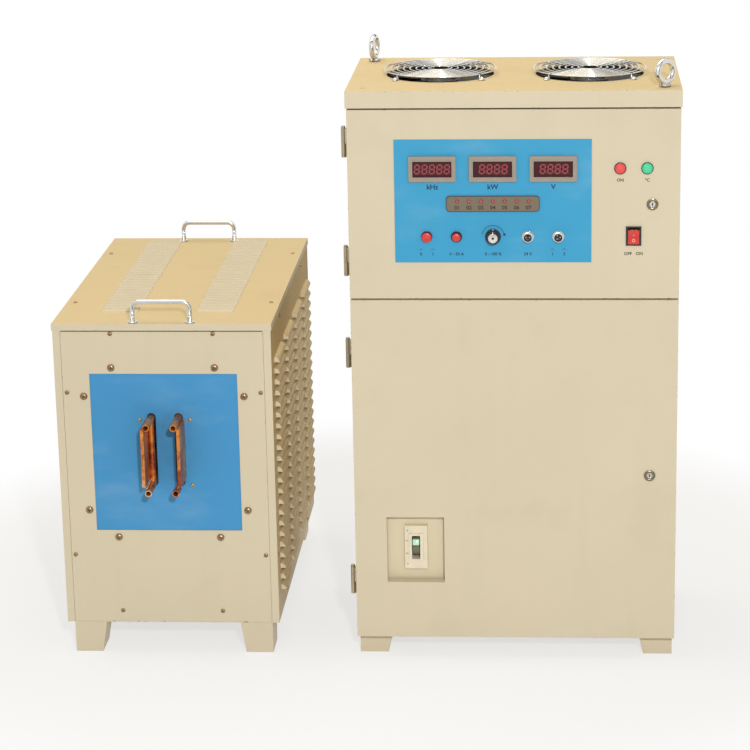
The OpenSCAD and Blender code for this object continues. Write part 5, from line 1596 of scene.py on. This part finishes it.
@dataclass
class Fittings(Assembly):
    """The power cabinet's outside: shell, doors, eyes, fans, hinges, locks, breaker and rear fittings."""

    lock_x: float = 232.0
    upper_lock_z: float = 816.25
    lower_lock_z: float = 339.604
    lock_y: float = -2.9
    lock_rim: Outline = ((5.3, 0), (10.0, 0), (9.4, 0.9), (8.2, 1.5), (6.4, 1.3), (5.4, 0.7), (5.3, 0))
    lock_slot: tuple[Point, Point] = ((-0.78, -2.72, -2.95), (0.78, -2.3, 2.95))
    fan_x: float = 128.5
    fan_y: float = 180.0
    ear_r: float = 104.0
    ear_wire: float = 3.4
    guard_screw_r: float = 3.9
    frame_y: float = 22.0
    seal_t: float = 1.6
    seal_gap: float = 0.02
    dark_strip_edge: float = 0.5
    seals: tuple[tuple[float, float, float, float], ...] = (
        (-262, 963, 262, 975.5), (-262, 640, 262, 650), (-262, 41, 262, 51), (-276, 44, -264, 974),
        (264, 44, 276, 974))
    breaker_x: float = -173.0
    breaker_z: float = 201.0
    nose_y: float = 14.0
    outer_step: tuple[float, float] = (40.1, 79.6)
    outer_step_w: float = 1.25
    outer_step_t: float = 0.5
    inner_step: tuple[float, float] = (27.4, 52.4)
    inner_step_w: float = 1.1
    inner_step_t: float = 0.9
    button_x: float = 15.0
    button_z: float = 30.5
    button_r: float = 1.3
    collar: Outline = ((1.3, 0), (2.6, 0), (2.6, 0.5), (1.3, 0.5), (1.3, 0))
    mark_x: float = 16.2
    mark_z: float = 12.0
    mark_size: float = 2.6
    mark_t: float = 0.06
    pivot_y: float = 36.0
    shield_r: tuple[float, float] = (21.5, 20.0)
    shield_deg: int = 46
    shield_half: float = 5.6
    tip_low: Point = (-5.7, -0.8, -3.6)
    tip_high: Point = (5.7, 6.4, 6.6)
    tip_y: float = 6.6
    tip_z: float = 210.2
    tip_deg: float = -20.0
    tip_edge: float = 1.1

    def build(self) -> None:
        """Builds the outside."""
        dress_all({
            "cabinet_side_left": 0.4, "cabinet_side_right": 0.4, "cabinet_back": 0.25, "cabinet_floor": 0.4,
            "cabinet_shelf": 0.4, "cabinet_header": 0.4, "cabinet_lid": 0.6, "cabinet_feet": 0.6,
            "lifting_eyes": 0.0, "fan_housings": 0.6, "fan_rotor_left": 0.3, "fan_rotor_right": 0.3,
            "fan_guards": 0.0, "upper_lock_barrel": 0.3, "lower_lock_barrel": 0.3, "upper_lock_cam": 0.25,
            "lower_lock_cam": 0.25, "hinge_fixed_leaves": 0.3, "hinge_upper_leaves": 0.3,
            "hinge_lower_leaves": 0.3, "hinge_pins": 0.3, "breaker_body": 0.5, "breaker_handle": 0.5,
            "cable_glands": 0.4, "hose_tails": 0.25,
        })
        # The recessed plate's lighter cream is painted light.
        dress("breaker_plate", 0.3, RECESS_LIT_CREAM)
        for door in ("upper_door", "lower_door"):
            dress(door, 0.6, DOOR_CREAM)
        self.door_seals()
        self.lock_rims()
        self.guard_screws()
        self.lock_slots()
        self.breaker_steps()
        self.breaker_handle()
        self.breaker_marks()

    def door_seals(self) -> None:
        """Builds the black foam seals between the frame and the doors, partly real seals and partly painted
        shade that darkens the seams.
        """
        maker = Maker(self.place)
        for left, bottom, right, top in self.seals:
            maker.block((left, self.frame_y - self.seal_t, bottom),
                        (right, self.frame_y - self.seal_gap, top), self.dark_strip_edge)
        maker.piece("door_seals", "cabinet", "black_plastic", SEAM_SHADE_FOAM)

    def locks(self) -> tuple[tuple[str, float], ...]:
        """Gives each lock's name and height."""
        return ("upper", self.upper_lock_z), ("lower", self.lower_lock_z)

    def lock_rims(self) -> None:
        """Builds the raised bronze rim round each lock's plug."""
        for name, z in self.locks():
            self.dial(f"{name}_lock_rim", f"{name}_door", "chrome_steel", self.lock_rim,
                      (self.lock_x, self.lock_y, z), LOCK_BRONZE)

    def lock_slots(self) -> None:
        """Builds a dark block on each lock's plug, painted shade where its key slot is."""
        for name, z in self.locks():
            maker = Maker(self.place)
            # Painted shade: a dark block where the key slot's hollow would be.
            maker.block_at((self.lock_x, 0, z), *self.lock_slot)
            maker.piece(f"{name}_lock_slot", f"{name}_lock_cam", "chrome_steel", DARK_CHROME)

    def guard_screws(self) -> None:
        """Builds the screws that hold the finger guards, in the eyes of their wires."""
        maker = Maker(self.place)
        for count in range(8):
            side = (-1, 1)[count // 4]
            turn = math.radians(45 + 90 * (count % 4))
            x = side * self.fan_x + self.ear_r * math.cos(turn)
            y = self.fan_y + self.ear_r * math.sin(turn)
            seat = self.place.seat("fan_guards", (x + self.ear_wire, y, 0), UP)
            add_screw(maker, (x, y, seat[2]), UP, self.guard_screw_r, 31.0 * count)
        maker.piece("guard_screws", "cabinet", "chrome_steel")

    def breaker_steps(self) -> None:
        """Builds the two moulded steps and the two button collars of the breaker's nose."""
        maker = Maker(self.place)
        x, z = self.breaker_x, self.breaker_z
        maker.border(x, z, self.outer_step, self.outer_step_w, (1.4, 0.8), self.nose_y, self.outer_step_t)
        maker.border(x, z, self.inner_step, self.inner_step_w, (1.0, 0.6), self.nose_y, self.inner_step_t)
        for rise in (-self.button_z, self.button_z):
            maker.turned(self.collar, (x - self.button_x, self.nose_y, z + rise), FRONT, 20)
        maker.piece("breaker_steps", "cabinet", "breaker_plastic")

    def breaker_handle(self) -> None:
        """Builds the curved shield that turns with the handle, and the handle's tip, whose pale mint colour
        and faint glow are a painted highlight on the green plastic.
        """
        shield, tip = self.makers(2)
        x, z, reach = self.breaker_x, self.breaker_z, self.shield_deg
        outer, inner = self.shield_r
        outline = [(self.pivot_y - r * math.cos(math.radians(turn)), z + r * math.sin(math.radians(turn)))
                   for r, turns in ((outer, range(-reach, reach + 1, 4)),
                                    (inner, range(reach, -reach - 1, -4)))
                   for turn in turns]
        shield.slice(outline, x - self.shield_half, x + self.shield_half)
        shield.piece("handle_shield", "breaker_handle", "handle_plastic", HANDLE_GREY)
        tilt = Matrix.Rotation(math.radians(self.tip_deg), 4, "X")
        # The tip's pale glowing finish is a painted highlight.
        tip.block_at((x, self.tip_y, self.tip_z), self.tip_low, self.tip_high, self.tip_edge, tilt)
        tip.piece("handle_tip", "breaker_handle", "handle_plastic", HANDLE_TIP_HIGHLIGHT)

    def breaker_marks(self) -> None:
        """Prints the breaker's ON and OFF and fills its two buttons."""
        maker = Maker(self.place)
        x, z = self.breaker_x, self.breaker_z
        for text, rise in (("ON", self.mark_z), ("OFF", -self.mark_z)):
            maker.words(text, (x - self.mark_x, self.nose_y - self.mark_t / 2, z + rise), self.mark_size)
        for rise in (-self.button_z, self.button_z):
            button = circle(x - self.button_x, z + rise, self.button_r, steps=12)
            maker.sheet(button, self.nose_y, self.mark_t)
        maker.piece("breaker_marks", "cabinet", "breaker_plastic", BREAKER_INK)


@dataclass
class PowerInside(Assembly):
    """What the open doors show: the inverter stack, the capacitors and the control board."""

    module_x: tuple[float, float] = (25.0, 115.0)
    module_z: tuple[float, float] = (134.5, 274.5)
    module_half: tuple[float, float] = (31.0, 53.0)
    lid_inset: float = 3.0
    lid_t: float = 5.0
    lid_edge: float = 1.2
    ribs: int = 9
    rib_pitch: float = 4.2
    rib_half: float = 0.8
    rib_y: tuple[float, float] = (-6.2, -4.6)
    rib_inset: float = 3.0
    rib_gap: float = 4.0
    rib_edge: float = 0.3
    terminal_x: float = 14.0
    terminal_y: float = -7.0
    terminal_pitch: float = 34.0
    terminal_screw_r: float = 5.0
    plate_t: float = 2.2
    plate_half: float = 8.0
    plate_edge: float = 0.4
    bar_x: float = 20.0
    bar_z: tuple[float, float] = (-42.0, -26.0)
    bar_gap: float = 0.2
    bar_edge: float = 0.5
    can_x: tuple[float, float, float] = (-24.0, 60.0, 144.0)
    can_y: float = 120.0
    can_middle_z: float = 100.0
    can_rim_z: tuple[float, float] = (52.0, 158.0)
    can_rim_half: float = 0.5
    can_screw_x: float = 14.0
    can_screw_r: float = 5.2
    board_x: tuple[float, float] = (-85.0, 145.0)
    board_clear: tuple[float, float] = (6.0, 760.0)
    board_foot: float = 655.0
    board_margin: float = 12.0
    plug_x: float = 34.0
    plug: tuple[Point, Point] = ((-22.0, -11.0, -12.0), (22.0, 0.0, -2.0))
    plug_edge: float = 0.8
    pin: tuple[Point, Point] = ((-19.0, -12.2, -9.5), (-15.0, -10.6, -4.5))
    pin_edge: float = 0.3
    relay: tuple[Point, Point] = ((-9.0, -15.0, 0.0), (9.0, 0.0, 24.0))
    relay_edge: float = 1.0
    small_can_x: float = 20.0
    small_can_z: float = 44.0
    resistor_at: tuple[float, float] = (12.0, 46.0)
    plugs: int = 3
    plug_pitch: float = 76.0
    pins: int = 6
    pin_pitch: float = 7.0
    small_cans: int = 5
    small_can_pitch: float = 17.0
    small_can: Outline = ((0, 0), (5.6, 0), (5.9, 0.8), (5.6, 1.6), (5.8, 13.4), (5.2, 14.4), (0, 14.2))
    resistor_rows: int = 3
    resistors: int = 9
    resistor_pitch: tuple[float, float] = (11.0, 9.0)
    resistor: tuple[Point, Point] = ((-3.4, -2.6, -1.3), (3.4, -0.2, 1.3))
    resistor_edge: float = 0.8

    def build(self) -> None:
        """Builds the inside."""
        dress_all({"inverter_stack": 0.8, "bus_capacitors": 0.6, "control_board": 0.15})
        self.modules()
        self.cans()
        self.board()

    def modules(self) -> None:
        """Builds the switching modules' black lids, their bus plates and their terminal screws."""
        covers, plates, screws = self.makers(3)
        w, h = (half - self.lid_inset for half in self.module_half)
        for x in self.module_x:
            for z in self.module_z:
                y = self.place.seat("inverter_stack", (x, 0, z), FRONT)[1]
                covers.block((x - w, y - self.lid_t, z - h), (x + w, y, z + h), self.lid_edge)
                front, rear = (y + rise for rise in self.rib_y)
                for rib in range(self.ribs):
                    rib_z = z + (rib - self.ribs // 2) * self.rib_pitch
                    covers.block((x - w + self.rib_inset, front, rib_z - self.rib_half),
                                 (x - self.rib_gap, rear, rib_z + self.rib_half), self.rib_edge)
                front = y + self.terminal_y
                for step in (-self.terminal_pitch, 0, self.terminal_pitch):
                    plates.block((x + self.rib_gap, front, z + step - self.plate_half),
                                 (x + w - self.rib_inset, front + self.plate_t, z + step + self.plate_half),
                                 self.plate_edge)
                    add_screw(screws, (x + self.terminal_x, front, z + step), FRONT,
                              self.terminal_screw_r, 40 + step)
        left, right = (x + self.bar_x for x in self.module_x)
        for z in self.module_z:
            y = self.place.seat("inverter_stack", (self.module_x[0], 0, z), FRONT)[1]
            rear = y + self.terminal_y - self.bar_gap
            low, high = (z + rise for rise in self.bar_z)
            plates.block((left, rear - self.plate_t, low), (right, rear, high), self.bar_edge)
        covers.piece("module_covers", "cabinet", "black_plastic")
        plates.piece("module_plates", "cabinet", "tarnished_copper", BUS_COPPER)
        screws.piece("module_screws", "cabinet", "zinc_steel")

    def cans(self) -> None:
        """Builds the capacitors' crimped rims and the screws of their bar."""
        rims, screws = self.makers(2)
        for x in self.can_x:
            radius = self.can_y - self.place.seat("bus_capacitors", (x, 0, self.can_middle_z), FRONT)[1]
            inner, outer = radius - self.can_rim_half, radius + self.can_rim_half
            crimp = [(inner, 0), (outer, 0.6), (outer, 1.6), (inner, 2.2), (inner, 0)]
            for z in self.can_rim_z:
                rims.turned(crimp, (x, self.can_y, z), UP, 48)
            for step in (-self.can_screw_x, self.can_screw_x):
                seat = self.place.seat("bus_capacitors", (x + step, self.can_y, 0), UP)
                add_screw(screws, seat, UP, self.can_screw_r, 25 + step)
        rims.piece("can_rims", "cabinet", "plain_aluminium")
        screws.piece("can_screws", "cabinet", "zinc_steel")

    def board(self) -> None:
        """Builds the board's plugs, relays, small cans and resistors."""
        left, right = self.board_x
        inset, clear_z = self.board_clear
        y = self.place.seat("control_board", (left + inset, 0, clear_z), FRONT)[1]
        low, high = self.place.box("control_board")
        bottom, top = max(low.z, self.board_foot) + self.board_margin, high.z - self.board_margin
        plugs, relays, cans, rods = self.makers(4)
        for count in range(self.plugs):
            x = left + self.plug_x + self.plug_pitch * count
            plugs.block_at((x, y, top), *self.plug, self.plug_edge)
            for pin in range(self.pins):
                plugs.block_at((x + self.pin_pitch * pin, y, top), *self.pin, self.pin_edge)
            relays.block_at((x, y, bottom), *self.relay, self.relay_edge)
        for count in range(self.small_cans):
            x = right - self.small_can_x - self.small_can_pitch * count
            cans.turned(self.small_can, (x, y, bottom + self.small_can_z), FRONT, 24)
        first_x, first_z = left + self.resistor_at[0], bottom + self.resistor_at[1]
        across, up = self.resistor_pitch
        for row in range(self.resistor_rows):
            for count in range(self.resistors):
                rods.block_at((first_x + across * count, y, first_z + up * row), *self.resistor,
                              self.resistor_edge)
        plugs.piece("board_plugs", "cabinet", "circuit_board", PLUG_GREEN)
        relays.piece("board_relays", "cabinet", "black_plastic", RELAY_BLUE)
        cans.piece("board_cans", "cabinet", "capacitor_can", CAN_BLACK)
        rods.piece("board_resistors", "cabinet", "bezel_plastic", RESISTOR_TAN)


@dataclass
class HeadOutside(Assembly):
    """The head cabinet's shell, board, handles, screws and copper terminals."""

    lid_screw_x: float = 174.5
    lid_screw_y: tuple[float, float] = (145.0, 518.0)
    front_screws_at: Outline = ((90, 526.5), (90, 217), (139.7, 475), (139.7, 267))
    small_screws_at: Outline = ((89, 587), (89, 79), (168.7, 481.7), (168.7, 183.8))
    board_screws_at: Outline = ((43.7, 432), (43.7, 313))
    side_rows_z: tuple[float, float] = (584, 72)
    side_ends_y: tuple[float, float] = (12, 634)
    side_ends_z: tuple[float, float] = (480, 182)
    screw_r: float = 6.6
    small_screw_r: float = 3.9
    board_screw_r: float = 3.1
    lid_screw_r: float = 3.4
    side_screw_r: float = 3.6
    band_x: float = 83.5
    band_w: float = 64.0
    band_y: tuple[float, float] = (77.0, 614.0)
    side_step: float = 188.0
    # A dark strip under the lid's front edge, painted shade for the gap line.
    shade_strip_low: Point = (-174.5, -1.35, 591.4)
    shade_strip_high: Point = (174.5, 0.0, 592.95)
    dark_strip_edge: float = 0.2
    tube_x: float = 23.7
    tube_r: float = 4.2
    plate_edge_z: tuple[float, float] = (318.5, 436.5)
    middle_z: float = 377.0
    lumps: int = 9
    lump_y: float = -56.0
    lump_pitch: float = 6.6
    lump_rise: float = 6.6

    def build(self) -> None:
        """Builds the head cabinet's outside."""
        dress("head_side_left", 0.35)
        # The right side's sideways faces take a browner coat, painted shade.
        dress("head_side_right", 0.35, SIDE_SHADED)
        dress_all({
            "head_floor": 0.4, "head_feet": 0.6, "head_back": 0.3, "head_front": 0.4, "insulating_board": 0.3,
            "carry_handles": 0.0, "terminal_left": 0.35, "terminal_right": 0.35,
        })
        middles = [self.place.x + side * self.band_x * MM for side in (-1, 1)]
        half = self.band_w / 2 * MM
        front, rear = (self.place.y + y * MM for y in self.band_y)
        # The lid's level faces take painted warm top light, except in its two louvre bands.
        dress("head_lid", 0.5, PowderCoat(bands=tuple((m - half, m + half, front, rear) for m in middles)))
        self.lid_seal()
        self.front_screws()
        self.shell_screws()
        self.terminals()

    def lid_seal(self) -> None:
        """Builds a dark strip under the lid's front edge, painted shade for the gap there."""
        maker = Maker(self.place)
        maker.block(self.shade_strip_low, self.shade_strip_high, self.dark_strip_edge)
        maker.piece("lid_seal", "cabinet", "black_plastic")

    def front_screws(self) -> None:
        """Builds the screws of the front plate and the small brass ones beside the terminals."""
        screws, brass = [], []
        for side in (-1, 1):
            for made, node, radius, places in (
                    (screws, "head_front", self.screw_r, self.front_screws_at),
                    (screws, "head_front", self.small_screw_r, self.small_screws_at),
                    (brass, "insulating_board", self.board_screw_r, self.board_screws_at)):
                made += [Screw(side * x, 0, z, node, FRONT, radius) for x, z in places]
        # The screws' warm brown colour is a painted reflection.
        self.add_screws("front_screws", "chrome_steel", screws, BROWN_REFLECTION_STEEL)
        self.add_screws("board_screws", "hose_brass", brass)

    def shell_screws(self) -> None:
        """Builds the screws of the lid and the two sides."""
        low, high = self.place.box("head_side_right")
        middle = (low.y + high.y) / 2
        screws = [Screw(side * self.lid_screw_x, y, 0, "head_lid", UP, self.lid_screw_r)
                  for side in (-1, 1) for y in self.lid_screw_y]
        places = [(middle + step, z) for step in (-self.side_step, self.side_step) for z in self.side_rows_z]
        places += [(y, z) for y in self.side_ends_y for z in self.side_ends_z]
        for node, axis in (("head_side_left", LEFT), ("head_side_right", RIGHT)):
            screws += [Screw(0, y, z, node, axis, self.side_screw_r) for y, z in places]
        # These screws also take the painted brown reflection.
        self.add_screws("shell_screws", "zinc_steel", screws, BROWN_REFLECTION_STEEL)

    def terminals(self) -> None:
        """Builds the braze runs where each tube and riser meets its plate."""
        for side, name in ((-1, "left"), (1, "right")):
            maker = Maker(self.place)
            x = side * self.tube_x
            for z in self.plate_edge_z:
                inward = 1 if z < self.middle_z else -1
                for lump in range(self.lumps):
                    y = self.lump_y + self.lump_pitch * lump
                    swell = 1.7 + 0.5 * math.sin(2.3 * lump + z)
                    profile = [(0, 0), (swell, 0.2), (swell * 0.9, 2.4), (swell * 0.5, 3.4), (0, 3.7)]
                    foot = (x + side * self.tube_r, y, z + inward * self.lump_rise)
                    maker.turned(profile, foot, (side * -0.5, 0.2, inward * 0.3), 12)
            maker.piece("braze_" + name, "cabinet", "tarnished_copper", BRAZE)


@dataclass
class HeadInside(Assembly):
    """What stands inside the head cabinet: core, winding and tank capacitors."""

    def build(self) -> None:
        """Builds the head cabinet's inside."""
        dress_all({"transformer_core": 0.8, "transformer_winding": 0.8, "tank_capacitors": 1.0})


def main() -> None:
    """Builds the scene piece by piece."""
    logging.basicConfig(level=logging.INFO, format="%(message)s")
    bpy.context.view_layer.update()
    Studio().build()
    power = Place.of("cabinet_lid", "lower_door")
    head = Place.of("head_lid", "head_front")
    for assembly in (Fittings(power), ControlPanel(power), PowerInside(power), HeadOutside(head),
                     HeadInside(head)):
        assembly.build()
        log.info("finished %s", type(assembly).__name__)


if __name__ == "__main__":
    main()
